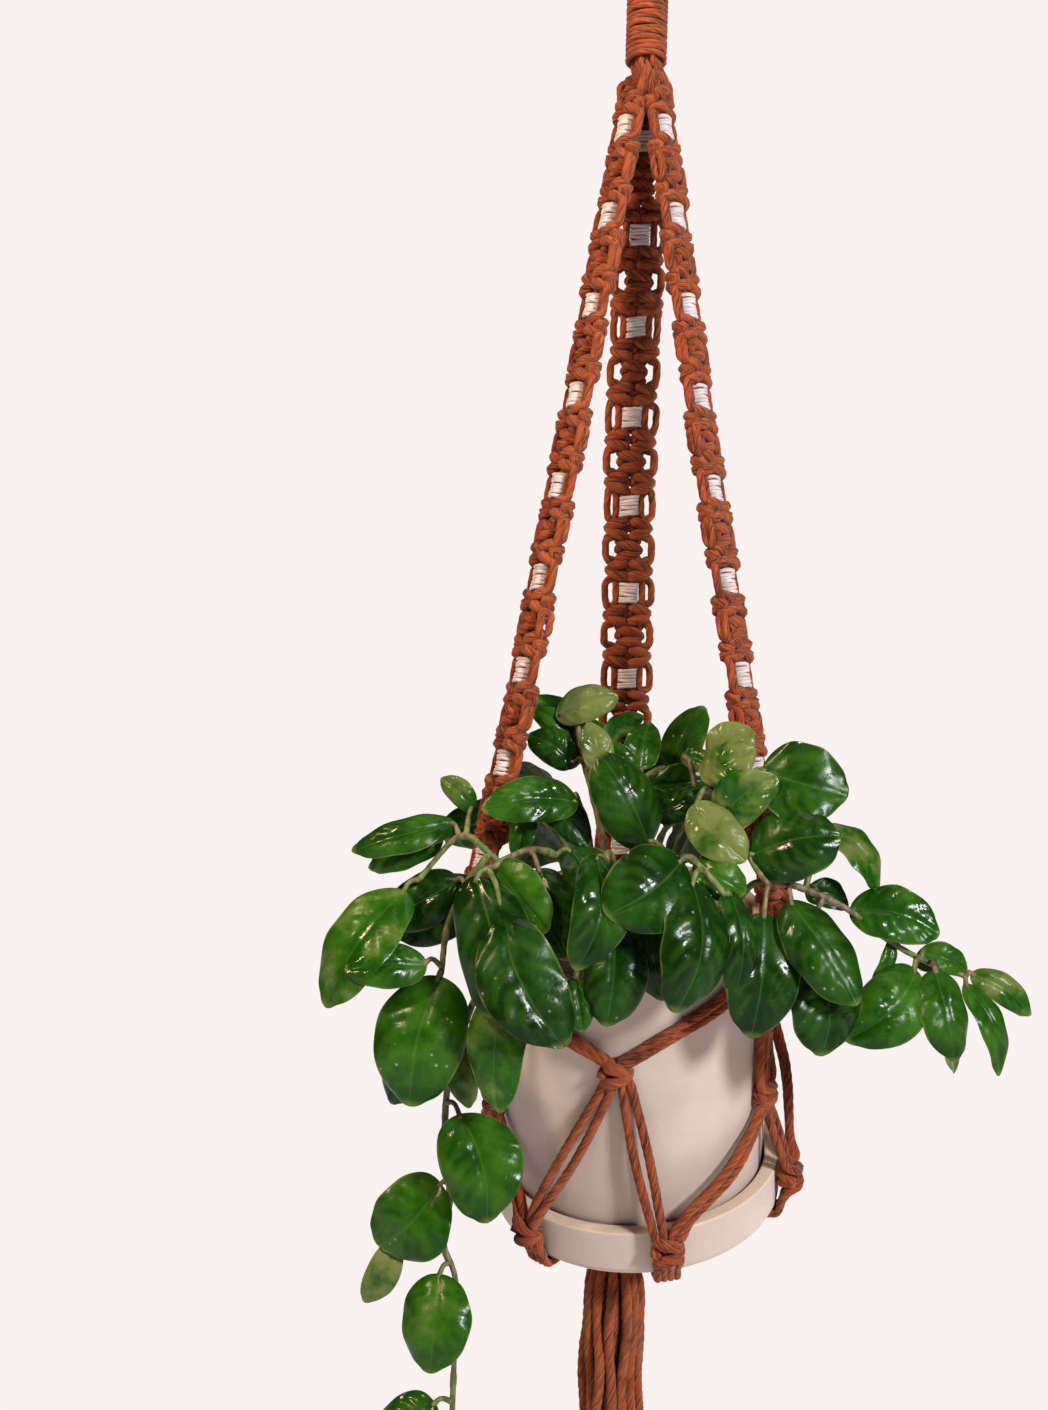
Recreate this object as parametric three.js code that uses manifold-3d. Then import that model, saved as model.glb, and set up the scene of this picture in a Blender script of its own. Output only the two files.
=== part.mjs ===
// A hanging macrame planter: a ring, three knotted straps, a net that cradles a ceramic pot on its
// saucer, a tassel, and the leafy plant that grows in the pot.
// Millimetres, +Z up, +X to the right, -Y to the front. The origin is where a hook bears inside the ring.
import * as THREE from "three";
import { mergeVertices } from "three/addons/utils/BufferGeometryUtils.js";
import Module from "manifold-3d";

// ---------- driving dimensions ----------
const GAP = 0.3; // between pieces that touch
const CORD = 5.2; // diameter of one cotton cord

const RING = { innerRadius: 24, section: 4, sides: 8, segments: 32 };
const BAR_Z = -2 * RING.innerRadius - RING.section; // centre of the ring's lowest stretch
const SWING_LIMIT = 12; // degrees the folded cords roll on the ring, each way

const WRAP = { top: -68, bottom: -111.5, innerRadius: 8.2, outerRadius: 10.5 };

const STRAP = {
  azimuths: { strap_left: -66, strap_right: 60, strap_back: 178 },
  top: WRAP.bottom - 1, // the band leans, so its top edge needs a little more than the gap
  topRadius: 7,
  slope: THREE.MathUtils.degToRad(10),
  length: 427.4,
  thickness: 7,
  halfWidth: 13,
  neckHalfWidth: 5,
  neckLength: 27,
};
const BAND = { first: 33.6, pitch: 46, count: 9, height: 12, coreHalfWidth: 3.7, wall: 1.9 };

// The pot and saucer lean in the net: towards the front about X, then to the left about Y.
const LEAN = { front: 17, left: 6, bottom: [12.5, 24, -680] };
const SAUCER = { radius: 72.5, rimInner: 65.5, height: 24, floor: 4.6 };
const POT = { bottom: 5, top: 152, wall: 5, drainRadius: 6, floor: 8 };
const POT_OUTLINE = [
  [60, POT.bottom],
  [62.5, 9],
  [66, 40],
  [68, 85],
  [69, POT.top],
];
const SOIL_TOP = 132;

// Net knots: azimuth in degrees round the pot, height above the saucer's bottom, and how far the net
// hangs clear of the pot's wall there. The pot leans forward, so the back strap hangs free of it.
const BETWEEN_KNOTS = [
  { azimuth: -8, height: 108, clear: 0, straps: ["strap_left", "strap_right"] },
  { azimuth: 118, height: 98, clear: 9, straps: ["strap_right", "strap_back"] },
  { azimuth: -128, height: 98, clear: 9, straps: ["strap_back", "strap_left"] },
];
const UNDER_KNOTS = [
  { azimuth: 60, height: 71, clear: 0, straps: ["strap_right"] },
  { azimuth: 178, height: 72, clear: 14, straps: ["strap_back"] },
  { azimuth: -72, height: 71, clear: 0, straps: ["strap_left"] },
];
const LOWER_KNOTS = { azimuths: [6, 70, 130, 190, 248, 315], height: 19, radius: 79 };
const KNOT = { width: 17, height: 15, depth: 8.5 };
const PAIR_RADIUS = 3.4; // of the round tube that stands for two cords
const FOUR_RADIUS = 4.4; // and for four
const OUTER_CORDS = 9.4; // from a strap's middle to the pair of cords at its edge
const CORNER = 3; // degrees from a knot's middle to the cords at its corner
const LEG_CLEARANCE = 1.5; // between the net's cords and the pot

const GATHER = { at: [1, 8], top: -692, bottom: -708, radius: 10.5 };
// The tassel's bundles are squeezed together over their neck, and leave room to sway under the wrap.
const TASSEL = { bundles: 6, circle: 9.4, radius: 4.5, neck: 16, squeeze: 0.55, clearance: 2, bottom: -938 };

const LEAF_THICKNESS = 2;
const STALK_RADIUS = 1.6;

// ---------- materials ----------
const finish = (color, roughness) => new THREE.MeshStandardMaterial({ color, roughness, metalness: 0 });
const MATERIALS = {
  wood: finish(0xc9a878, 0.6),
  cord: finish(0xb0522a, 0.9),
  thread: finish(0xd9cfd2, 0.9),
  ceramic: finish(0xdccdc4, 0.7),
  soil: finish(0x2e211a, 1),
  leaf: finish(0x1f5a1c, 0.35),
};

// ---------- solids ----------
const wasm = await Module();
wasm.setup();

function toManifold(geometry) {
  const bare = geometry.clone();
  bare.deleteAttribute("normal");
  bare.deleteAttribute("uv");
  const merged = mergeVertices(bare, 1e-4);
  return new wasm.Manifold(
    new wasm.Mesh({
      numProp: 3,
      vertProperties: merged.attributes.position.array,
      triVerts: new Uint32Array(merged.index.array),
    }),
  );
}

function toGeometry(solid) {
  const mesh = solid.getMesh();
  const geometry = new THREE.BufferGeometry();
  geometry.setAttribute("position", new THREE.BufferAttribute(mesh.vertProperties, 3));
  geometry.setIndex(new THREE.BufferAttribute(mesh.triVerts, 1));
  geometry.computeVertexNormals();
  return geometry;
}

const join = (geometries) => geometries.map(toManifold).reduce((sum, next) => sum.add(next));

function circleShape(radius, sides) {
  const points = Array.from({ length: sides }, (_, i) => {
    const angle = (2 * Math.PI * i) / sides;
    return new THREE.Vector2(radius * Math.cos(angle), radius * Math.sin(angle));
  });
  return new THREE.Shape(points);
}

function tube(points, radius, sides = 6, steps = 6) {
  const path = points.length > 2 ? new THREE.CatmullRomCurve3(points) : new THREE.LineCurve3(...points);
  return new THREE.ExtrudeGeometry(circleShape(radius, sides), { steps, extrudePath: path });
}

function lathe(profile, segments = 40) {
  const points = profile.map(([radius, z]) => new THREE.Vector2(radius, z));
  return new THREE.LatheGeometry(points, segments).rotateX(Math.PI / 2);
}

const vector = ([x, y, z]) => new THREE.Vector3(x, y, z);
const degrees = THREE.MathUtils.degToRad;

// ---------- frames of reference ----------
// A unit vector level with the ground: azimuth 0 is the front, positive azimuths go to the right.
const outward = (azimuth) => new THREE.Vector3(Math.sin(degrees(azimuth)), -Math.cos(degrees(azimuth)), 0);

const potFrame = new THREE.Matrix4()
  .makeRotationY(-degrees(LEAN.left))
  .multiply(new THREE.Matrix4().makeRotationX(degrees(LEAN.front)))
  .setPosition(...LEAN.bottom);

const inPot = (azimuth, radius, height) =>
  outward(azimuth).multiplyScalar(radius).setZ(height).applyMatrix4(potFrame);

function potRadius(height) {
  const above = POT_OUTLINE.findIndex(([, h]) => h >= height);
  if (above < 1) return POT_OUTLINE[above < 0 ? POT_OUTLINE.length - 1 : 0][0];
  const [[r0, h0], [r1, h1]] = POT_OUTLINE.slice(above - 1, above + 1);
  return r0 + ((r1 - r0) * (height - h0)) / (h1 - h0);
}

// A point of a strap: distance down its length, and distance to its right seen from outside.
function onStrap(name, along, across = 0) {
  const azimuth = STRAP.azimuths[name];
  const side = outward(azimuth + 90);
  return outward(azimuth)
    .multiplyScalar(STRAP.topRadius + along * Math.sin(STRAP.slope))
    .addScaledVector(side, across)
    .setZ(STRAP.top - along * Math.cos(STRAP.slope));
}

// ---------- the object ----------
const planter = new THREE.Group();

function add(name, geometry, material, parent = planter) {
  const mesh = new THREE.Mesh(geometry, material);
  mesh.name = name;
  parent.add(mesh);
  return mesh;
}

function ringTorus(section) {
  const radius = RING.innerRadius + RING.section;
  return new THREE.TorusGeometry(radius, section, RING.sides, RING.segments)
    .rotateX(Math.PI / 2)
    .translate(0, 0, -RING.innerRadius);
}

// The cords folded over the ring's lowest stretch, with the bundle that runs down inside the wrap.
function cordLoops() {
  const radius = RING.innerRadius + RING.section;
  const half = degrees(24);
  const arc = [-1, -0.5, 0, 0.5, 1].map((part) => {
    const angle = part * half;
    return new THREE.Vector3(radius * Math.sin(angle), 0, -RING.innerRadius - radius * Math.cos(angle));
  });
  const saddle = tube(arc, RING.section + 1.05 * CORD, 12, 4);
  const bundle = lathe(
    [
      [0, WRAP.bottom],
      [WRAP.innerRadius - GAP, WRAP.bottom],
      [WRAP.innerRadius - GAP, WRAP.top],
      [WRAP.innerRadius + 1, WRAP.top + 1],
      [WRAP.innerRadius + 1, BAR_Z - RING.section],
      [0, BAR_Z - RING.section],
    ],
    16,
  );
  const swept = [-SWING_LIMIT, 0, SWING_LIMIT].map((angle) =>
    ringTorus(RING.section + 0.4)
      .translate(0, 0, -BAR_Z)
      .rotateX(degrees(angle))
      .translate(0, 0, BAR_Z),
  );
  return toGeometry(join([saddle, bundle]).subtract(join(swept)));
}

function topWrap() {
  const { top, bottom, innerRadius, outerRadius } = WRAP;
  const lip = outerRadius - 1.2;
  return lathe(
    [
      [innerRadius, bottom],
      [lip, bottom],
      [outerRadius, bottom + 1.5],
      [outerRadius, top - 1.5],
      [lip, top - GAP],
      [innerRadius, top - GAP],
      [innerRadius, bottom],
    ],
    20,
  );
}

const outlineShape = (points) => new THREE.Shape(points.map(([x, y]) => new THREE.Vector2(x, y)));

// A knotted strap as a flat band, narrow where it leaves the wrap, with a slot each side of every
// thread band so that the band goes round the four middle cords.
function strapBand() {
  const { halfWidth, neckHalfWidth, neckLength, length, thickness } = STRAP;
  const outline = outlineShape([
    [-neckHalfWidth, 0],
    [neckHalfWidth, 0],
    [halfWidth, -neckLength],
    [halfWidth, -length],
    [-halfWidth, -length],
    [-halfWidth, -neckLength],
  ]);
  const band = new THREE.ExtrudeGeometry(outline, { depth: thickness, bevelEnabled: false });
  band.translate(0, 0, -thickness / 2);
  const width = BAND.wall + 2 * GAP;
  const slots = [];
  for (let i = 0; i < BAND.count; i++) {
    for (const side of [-1, 1]) {
      const slot = new THREE.BoxGeometry(width, BAND.height + 2 * GAP, 2 * thickness);
      slots.push(slot.translate(side * (BAND.coreHalfWidth + width / 2), -BAND.first - i * BAND.pitch, 0));
    }
  }
  return toGeometry(toManifold(band).subtract(join(slots)));
}

// A band of pale thread bound round the four middle cords of a strap.
function threadBand() {
  const innerX = BAND.coreHalfWidth + GAP;
  const innerY = STRAP.thickness / 2 + GAP;
  const x = innerX + BAND.wall;
  const y = innerY + BAND.wall;
  const corner = 2;
  const outline = outlineShape([
    [x - corner, -y],
    [x, corner - y],
    [x, y - corner],
    [x - corner, y],
    [corner - x, y],
    [-x, y - corner],
    [-x, corner - y],
    [corner - x, -y],
  ]);
  const block = new THREE.ExtrudeGeometry(outline, { depth: BAND.height, bevelEnabled: false });
  block.translate(0, 0, -BAND.height / 2).rotateX(Math.PI / 2);
  const core = new THREE.BoxGeometry(2 * innerX, 2 * BAND.height, 2 * innerY);
  return toGeometry(toManifold(block).subtract(toManifold(core)));
}

function addStraps() {
  for (const [name, azimuth] of Object.entries(STRAP.azimuths)) {
    const turned = new THREE.Group();
    turned.rotation.z = degrees(azimuth);
    const leaning = new THREE.Group();
    leaning.position.set(0, -STRAP.topRadius, STRAP.top);
    leaning.rotation.x = Math.PI / 2 - STRAP.slope;
    turned.add(leaning);
    planter.add(turned);
    add(name, strapBand(), MATERIALS.cord, leaning);
    for (let i = 0; i < BAND.count; i++) {
      const band = add(`${name}_thread_${i + 1}`, threadBand(), MATERIALS.thread, leaning);
      band.position.y = -BAND.first - i * BAND.pitch;
    }
  }
}

// A knot's body, flat against the pot at the given azimuth.
function knotBody(azimuth, radius, height) {
  const box = new THREE.BoxGeometry(KNOT.width, KNOT.depth, KNOT.height);
  const placed = new THREE.Matrix4().makeRotationZ(degrees(azimuth));
  placed.setPosition(outward(azimuth).multiplyScalar(radius).setZ(height));
  return box.applyMatrix4(placed).applyMatrix4(potFrame);
}

const onWall = (azimuth, height, offset) => inPot(azimuth, potRadius(height) + offset, height);

// How far round the pot, from -180 to 180 degrees, one azimuth is from another.
const turnTo = (from, to) => THREE.MathUtils.euclideanModulo(to - from + 180, 360) - 180;

// The lower knot next to an azimuth, on the left (side -1) or on the right (side 1).
function nextLowerKnot(azimuth, side) {
  const away = (other) => THREE.MathUtils.euclideanModulo(side * (other - azimuth), 360);
  return LOWER_KNOTS.azimuths.reduce((best, other) => (away(other) < away(best) ? other : best));
}

// Two cords from an upper knot down the pot's wall to one corner of a lower knot.
function downLeg(knot, side) {
  const away = turnTo(knot.azimuth, nextLowerKnot(knot.azimuth, side)) - 2 * side * CORNER;
  const start = knot.height - KNOT.height / 2 + 2;
  const end = LOWER_KNOTS.height + KNOT.height / 2 + PAIR_RADIUS;
  const points = [0, 0.5, 1].map((part) => {
    const height = start + (end - start) * part;
    const wall = potRadius(height) + PAIR_RADIUS + LEG_CLEARANCE + knot.clear;
    const radius = wall + (LOWER_KNOTS.radius - wall) * part ** (knot.clear ? 1 : 2);
    return inPot(knot.azimuth + side * CORNER + away * part, radius, height);
  });
  return tube(points, PAIR_RADIUS, 5, 5);
}

// The last two points of a leg that comes straight out of the end of a strap.
const strapFoot = (name, across) => [8, 2.2].map((below) => onStrap(name, STRAP.length + below, across));

function azimuthInPot(point) {
  const local = point.clone().applyMatrix4(potFrame.clone().invert());
  return THREE.MathUtils.radToDeg(Math.atan2(local.x, -local.y));
}

// Cords from an upper knot up the pot's wall, over its rim, to the foot of a strap.
function upLeg(knot, strapName, across, radius, corner) {
  const start = knot.height + KNOT.height / 2 - 2;
  const end = POT.top - 8;
  const azimuth = knot.azimuth + corner;
  const away = turnTo(azimuth, azimuthInPot(onStrap(strapName, STRAP.length, across)));
  const parts = strapName === "strap_back" ? [0] : [0, 0.3, 0.6, 0.95];
  const points = parts.map((part) => {
    const offset = radius + LEG_CLEARANCE + knot.clear * (1 - part);
    return onWall(azimuth + away * part, start + (end - start) * part, offset);
  });
  return tube([...points, ...strapFoot(strapName, across)], radius, 6, 8);
}

function addNet() {
  const body = ({ azimuth, height, clear }) =>
    knotBody(azimuth, potRadius(height) + KNOT.depth / 2 + LEG_CLEARANCE + clear, height);
  BETWEEN_KNOTS.forEach((knot, i) => {
    const [before, after] = knot.straps;
    const pieces = [
      body(knot),
      upLeg(knot, before, OUTER_CORDS, PAIR_RADIUS, -CORNER),
      upLeg(knot, after, -OUTER_CORDS, PAIR_RADIUS, CORNER),
      downLeg(knot, -1),
      downLeg(knot, 1),
    ];
    add(`net_between_knot_${i + 1}`, toGeometry(join(pieces)), MATERIALS.cord);
  });
  UNDER_KNOTS.forEach((knot, i) => {
    const pieces = [
      body(knot),
      upLeg(knot, knot.straps[0], 0, FOUR_RADIUS, 0),
      downLeg(knot, -1),
      downLeg(knot, 1),
    ];
    add(`net_under_strap_knot_${i + 1}`, toGeometry(join(pieces)), MATERIALS.cord);
  });
  LOWER_KNOTS.azimuths.forEach((azimuth, i) => {
    const pieces = [
      knotBody(azimuth, LOWER_KNOTS.radius, LOWER_KNOTS.height),
      underSaucerLeg(azimuth),
    ];
    add(`net_lower_knot_${i + 1}`, toGeometry(join(pieces)), MATERIALS.cord);
  });
}

// Four cords from a lower knot, round the saucer's bottom edge and in to the gathering wrap.
function underSaucerLeg(azimuth) {
  const radius = FOUR_RADIUS - 0.8;
  const middle = new THREE.Vector3(...GATHER.at, GATHER.top - 2);
  const edge = inPot(azimuth, SAUCER.radius - 3, -radius - 2.2);
  const rim = new THREE.Vector3().subVectors(edge, middle).setZ(0).normalize();
  const end = middle.clone().addScaledVector(rim, GATHER.radius + radius + 1);
  end.z = GATHER.top - 4;
  return tube(
    [
      inPot(azimuth, LOWER_KNOTS.radius - 0.5, LOWER_KNOTS.height - 4),
      inPot(azimuth, SAUCER.radius + radius + 1.4, 4),
      edge,
      new THREE.Vector3().lerpVectors(edge, end, 0.5),
      end,
    ],
    radius,
    6,
    9,
  );
}

function gatheringWrap() {
  const { top, bottom, radius } = GATHER;
  const profile = [
    [0, bottom],
    [radius - 1.2, bottom],
    [radius, bottom + 1.5],
    [radius, top - 1.5],
    [radius - 1.2, top],
    [0, top],
  ];
  return lathe(profile, 20).translate(...GATHER.at, 0);
}

// A bundle of four strands: a cone over the neck, then straight down.
function strandBundle(angle) {
  const { circle, radius, neck, squeeze, clearance, bottom } = TASSEL;
  const top = GATHER.bottom - clearance;
  const outline = (scale, z) =>
    circleShape(radius, 8)
      .getPoints()
      .slice(0, 8)
      .map(({ x, y }) => [
        GATHER.at[0] + scale * (circle * Math.cos(angle) + x),
        GATHER.at[1] + scale * (circle * Math.sin(angle) + y),
        z,
      ]);
  const start = outline(1, top - neck);
  const cone = wasm.Manifold.hull([...outline(squeeze, top), ...start]);
  return toGeometry(cone.add(wasm.Manifold.hull([...start, ...outline(1, bottom)])));
}

function addTassel() {
  for (let i = 0; i < TASSEL.bundles; i++) {
    const angle = (2 * Math.PI * i) / TASSEL.bundles;
    add(`tassel_strands_${i + 1}`, strandBundle(angle), MATERIALS.cord);
  }
}

function saucer() {
  const { radius, rimInner, height, floor } = SAUCER;
  return lathe([
    [0, 0],
    [radius - 2.5, 0],
    [radius - 0.5, 2.5],
    [radius, height],
    [rimInner, height],
    [rimInner - 0.5, floor + 2.4],
    [rimInner - 3, floor],
    [0, floor],
  ]);
}

function pot() {
  const { bottom, wall, drainRadius, floor } = POT;
  const inside = POT_OUTLINE.slice(2)
    .reverse()
    .map(([r, h]) => [r - wall, h]);
  return lathe([
    [drainRadius, bottom],
    ...POT_OUTLINE,
    ...inside,
    [POT_OUTLINE[1][0] - wall - 1, bottom + floor],
    [drainRadius, bottom + floor],
    [drainRadius, bottom],
  ]);
}

function soil() {
  const inset = POT.wall + 0.5;
  const low = POT.bottom + POT.floor + 0.4;
  return lathe(
    [
      [0, low],
      [POT_OUTLINE[1][0] - inset - 1, low],
      [POT_OUTLINE[2][0] - inset, POT_OUTLINE[2][1]],
      [POT_OUTLINE[3][0] - inset, POT_OUTLINE[3][1]],
      [potRadius(SOIL_TOP) - inset, SOIL_TOP],
      [0, SOIL_TOP + 2],
    ],
    24,
  );
}

function addPotAndSaucer() {
  const leaning = new THREE.Group();
  leaning.applyMatrix4(potFrame);
  planter.add(leaning);
  add("saucer", saucer(), MATERIALS.ceramic, leaning);
  add("pot", pot(), MATERIALS.ceramic, leaning);
  add("soil", soil(), MATERIALS.soil, leaning);
}

// ---------- the plant ----------
// Each leaf: where it leaves its stalk, its tip, and its width. Each plant node has its own leaves.
const CROWN_LEAVES = [
  [[7, -60, -498], [-17, -62, -456], 29],
  [[-15, -30, -467], [-21, -28, -442], 14],
  [[-36, -10, -440], [-6, -12, -429], 17],
  [[-26, -5, -449], [-47, -5, -436], 9],
  [[7, 5, -465], [11, 5, -441], 17],
  [[-13, 10, -451], [9, 14, -438], 13],
  [[-26, -60, -479], [-70, -72, -483], 20],
  [[-27, -20, -463], [-50, -18, -449], 17],
  [[-50, -52, -480], [-54, -58, -507], 12],
  [[-72, -95, -511], [-62, -110, -570], 31],
  [[-64, -88, -506], [-39, -100, -534], 23],
  [[-60, -105, -528], [-31, -118, -580], 33],
  [[-19, -100, -500], [-27, -114, -548], 23],
  [[18, -104, -501], [-15, -116, -524], 35],
  [[22, -108, -509], [15, -124, -563], 32],
  [[-10, -98, -532], [-13, -106, -573], 27],
  [[-50, -95, -552], [-58, -99, -613], 25],
  [[40, -95, -514], [42, -105, -560], 18],
  [[56, -92, -524], [50, -102, -577], 30],
  [[50, -84, -500], [89, -92, -489], 32],
  [[56, -72, -462], [94, -80, -472], 34],
  [[30, -60, -466], [54, -66, -452], 19],
  [[23, -40, -456], [40, -50, -464], 10],
  [[37, -72, -488], [62, -80, -464], 21],
  [[25, -76, -478], [48, -86, -502], 21],
  [[10, -20, -472], [45, -16, -466], 18],
  [[74, -5, -487], [103, -5, -478], 12],
  [[-50, 12, -488], [-94, 16, -500], 26],
  [[-30, 28, -490], [-62, 48, -468], 24],
  [[-26, 44, -500], [-52, 84, -522], 28],
  [[-5, 30, -472], [-26, 40, -440], 20],
  [[10, 34, -480], [32, 46, -452], 18],
  [[28, 42, -498], [54, 80, -516], 28],
  [[34, 26, -480], [66, 42, -460], 24],
  [[42, 16, -492], [90, 28, -492], 29],
  [[-22, 10, -462], [-50, 8, -430], 20],
  [[24, 12, -468], [40, 20, -432], 19],
  [[-22, -8, -459], [-46, -14, -453], 17],
  [[-43, -45, -480], [-20, -54, -500], 15],
  [[-27, -98, -553], [-23, -104, -576], 12],
  [[8, -48, -485], [34, -52, -471], 14],
  [[36, -52, -460], [54, -56, -443], 20],
  [[-12, -18, -453], [5, -20, -465], 12],
  [[3, -88, -520], [12, -96, -563], 19],
];
const LEFT_LEAVES = [
  [[-82, -62, -490], [-129, -66, -504], 17],
  [[-74, -56, -484], [-90, -52, -470], 11],
  [[-88, -54, -496], [-123, -48, -513], 18],
  [[-104, -70, -521], [-137, -80, -573], 30],
  [[-92, -85, -552], [-128, -90, -554], 19],
  [[-80, -62, -516], [-114, -54, -537], 23],
  [[-87, -77, -558], [-98, -88, -614], 38],
  [[-91, -78, -590], [-107, -76, -616], 18],
  [[-70, -58, -519], [-110, -56, -543], 26],
];
const RIGHT_LEAVES = [
  [[86, -64, -487], [112, -66, -515], 20],
  [[66, -95, -518], [94, -110, -560], 27],
  [[76, -86, -543], [82, -97, -585], 32],
  [[98, -70, -524], [138, -75, -533], 24],
  [[128, -76, -550], [94, -86, -580], 28],
  [[132, -66, -542], [154, -64, -551], 12],
  [[136, -76, -549], [143, -87, -588], 22],
  [[137, -63, -567], [149, -64, -598], 18],
  [[151, -70, -556], [166, -76, -596], 14],
  [[155, -66, -552], [183, -66, -570], 13],
  [[131, -60, -549], [152, -58, -544], 12],
  [[118, -70, -537], [108, -74, -557], 8],
  [[80, -58, -518], [101, -54, -524], 13],
];
const VINE_LEAVES = [
  [[-75, -66, -586], [-72, -72, -618], 15],
  [[-76, -75, -620], [-62, -86, -665], 34],
  [[-84, -64, -655], [-112, -60, -685], 34],
  [[-104, -58, -683], [-118, -55, -713], 14],
  [[-84, -66, -695], [-86, -76, -736], 30],
  [[-84, -60, -756], [-110, -60, -780], 28],
  [[-76, -58, -782], [-64, -64, -812], 20],
];
const STEMS = {
  left_shoot: [[-36, -52, -545], [-50, -62, -520], [-66, -70, -503], [-80, -66, -496], [-98, -66, -516]],
  left_branch: [[-66, -70, -503], [-76, -68, -518], [-84, -70, -536], [-86, -74, -556]],
  right_shoot: [[44, -50, -536], [56, -74, -512], [90, -74, -520], [124, -70, -542], [152, -67, -553]],
  trailing_vine: [
    [-42, -56, -550],
    [-56, -78, -542],
    [-76, -72, -582],
    [-83, -62, -620],
    [-80, -62, -660],
    [-82, -60, -684],
    [-76, -60, -702],
    [-76, -60, -750],
    [-76, -58, -784],
  ],
};
const CROWN_ROOT = inPot(0, 0, SOIL_TOP + 2 + GAP);

// A flat closed leaf: a pointed oval of the given width between its base and its tip.
function leaf([base, tip, width]) {
  const from = vector(base);
  const to = vector(tip);
  const length = from.distanceTo(to);
  const half = width / 2;
  const outline = [
    [0, 0],
    [0.62 * half, 0.14 * length],
    [half, 0.42 * length],
    [0.78 * half, 0.76 * length],
    [0, length],
    [-0.78 * half, 0.76 * length],
    [-half, 0.42 * length],
    [-0.62 * half, 0.14 * length],
  ];
  const slab = new THREE.ExtrudeGeometry(outlineShape(outline), {
    depth: LEAF_THICKNESS,
    bevelEnabled: false,
  }).translate(0, 0, -LEAF_THICKNESS / 2);
  const along = to.clone().sub(from).normalize();
  const across = new THREE.Vector3(0, Math.sign(from.y) || -1, 0.35).cross(along).normalize();
  const face = new THREE.Vector3().crossVectors(across, along).negate();
  const turned = new THREE.Matrix4().makeBasis(across, along, face.negate());
  return slab.applyMatrix4(turned.setPosition(from));
}

// A leaf's stalk, from a point of its stem in a low arch, ending just inside the leaf's base.
function stalk(start, [base, tip]) {
  const end = vector(base).lerp(vector(tip), 0.06);
  const top = start.clone().lerp(end, 0.55);
  top.z += 0.1 * start.distanceTo(end);
  return tube([start, top, end], STALK_RADIUS, 4, 2);
}

function nearest(points, [base]) {
  const target = vector(base);
  return points.reduce((best, p) => (p.distanceTo(target) < best.distanceTo(target) ? p : best));
}

// Stems with their leaves, each leaf on a stalk from the nearest point of a stem.
function shoot(stems, leaves) {
  const routes = stems.map((points) => points.map(vector));
  const tubes = routes.map((points) => tube(points, STALK_RADIUS * 1.15, 5, 3 * points.length));
  const joints = routes.flatMap((points) => new THREE.CatmullRomCurve3(points).getPoints(3 * points.length));
  return toGeometry(
    join([...tubes, ...leaves.map((one) => stalk(nearest(joints, one), one)), ...leaves.map(leaf)]),
  );
}

function crown() {
  const plug = lathe(
    [
      [0, 0],
      [9, 0],
      [7, 6],
      [0, 8],
    ],
    8,
  );
  plug.applyMatrix4(new THREE.Matrix4().extractRotation(potFrame).setPosition(CROWN_ROOT));
  const root = CROWN_ROOT.clone().add(new THREE.Vector3(0, 0, 3));
  return toGeometry(
    join([plug, ...CROWN_LEAVES.map((one) => stalk(root, one)), ...CROWN_LEAVES.map(leaf)]),
  );
}

function addPlant() {
  add("plant_crown", crown(), MATERIALS.leaf);
  add("left_shoot", shoot([STEMS.left_shoot, STEMS.left_branch], LEFT_LEAVES), MATERIALS.leaf);
  add("right_shoot", shoot([STEMS.right_shoot], RIGHT_LEAVES), MATERIALS.leaf);
  add("trailing_vine", shoot([STEMS.trailing_vine], VINE_LEAVES), MATERIALS.leaf);
}

add("hanging_ring", ringTorus(RING.section), MATERIALS.wood);
add("cord_loops", cordLoops(), MATERIALS.cord);
add("top_wrap", topWrap(), MATERIALS.cord);
addStraps();
addNet();
add("gathering_wrap", gatheringWrap(), MATERIALS.cord);
addTassel();
addPotAndSaucer();
addPlant();

export default planter;
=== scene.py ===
"""A hanging macrame planter: knotted cotton straps and net, ceramic pot and saucer, and a trailing plant."""

import math

import bpy
import numpy as np
from mathutils import Matrix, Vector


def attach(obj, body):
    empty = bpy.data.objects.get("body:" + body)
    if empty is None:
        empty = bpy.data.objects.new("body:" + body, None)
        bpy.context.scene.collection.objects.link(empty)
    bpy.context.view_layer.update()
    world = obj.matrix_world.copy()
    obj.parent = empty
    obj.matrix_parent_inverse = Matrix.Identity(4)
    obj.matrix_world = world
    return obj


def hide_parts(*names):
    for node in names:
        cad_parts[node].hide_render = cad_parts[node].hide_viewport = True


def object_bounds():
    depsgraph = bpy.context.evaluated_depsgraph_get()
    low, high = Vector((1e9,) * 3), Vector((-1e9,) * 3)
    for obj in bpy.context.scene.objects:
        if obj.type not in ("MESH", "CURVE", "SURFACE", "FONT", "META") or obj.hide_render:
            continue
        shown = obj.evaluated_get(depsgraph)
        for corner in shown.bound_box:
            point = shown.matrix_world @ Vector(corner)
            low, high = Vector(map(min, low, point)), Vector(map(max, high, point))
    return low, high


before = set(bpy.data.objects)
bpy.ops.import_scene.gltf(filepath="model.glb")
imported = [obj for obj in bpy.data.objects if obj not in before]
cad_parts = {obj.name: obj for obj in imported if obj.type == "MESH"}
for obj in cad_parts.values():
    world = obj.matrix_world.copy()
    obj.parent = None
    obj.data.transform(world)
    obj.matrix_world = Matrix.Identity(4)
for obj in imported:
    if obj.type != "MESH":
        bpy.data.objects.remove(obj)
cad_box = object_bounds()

# Geometry is worked out in millimetres and becomes metres where a mesh is made.
MM = 0.001
SEED = 41
UP = np.array([0.0, 0.0, 1.0])

# ---------- the main dimensions, in millimetres ----------
RING_INNER, RING_SECTION = 24.0, 4.0
WRAP_TOP, WRAP_BOTTOM, WRAP_RADIUS = -68.0, -111.5, 10.5

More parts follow.
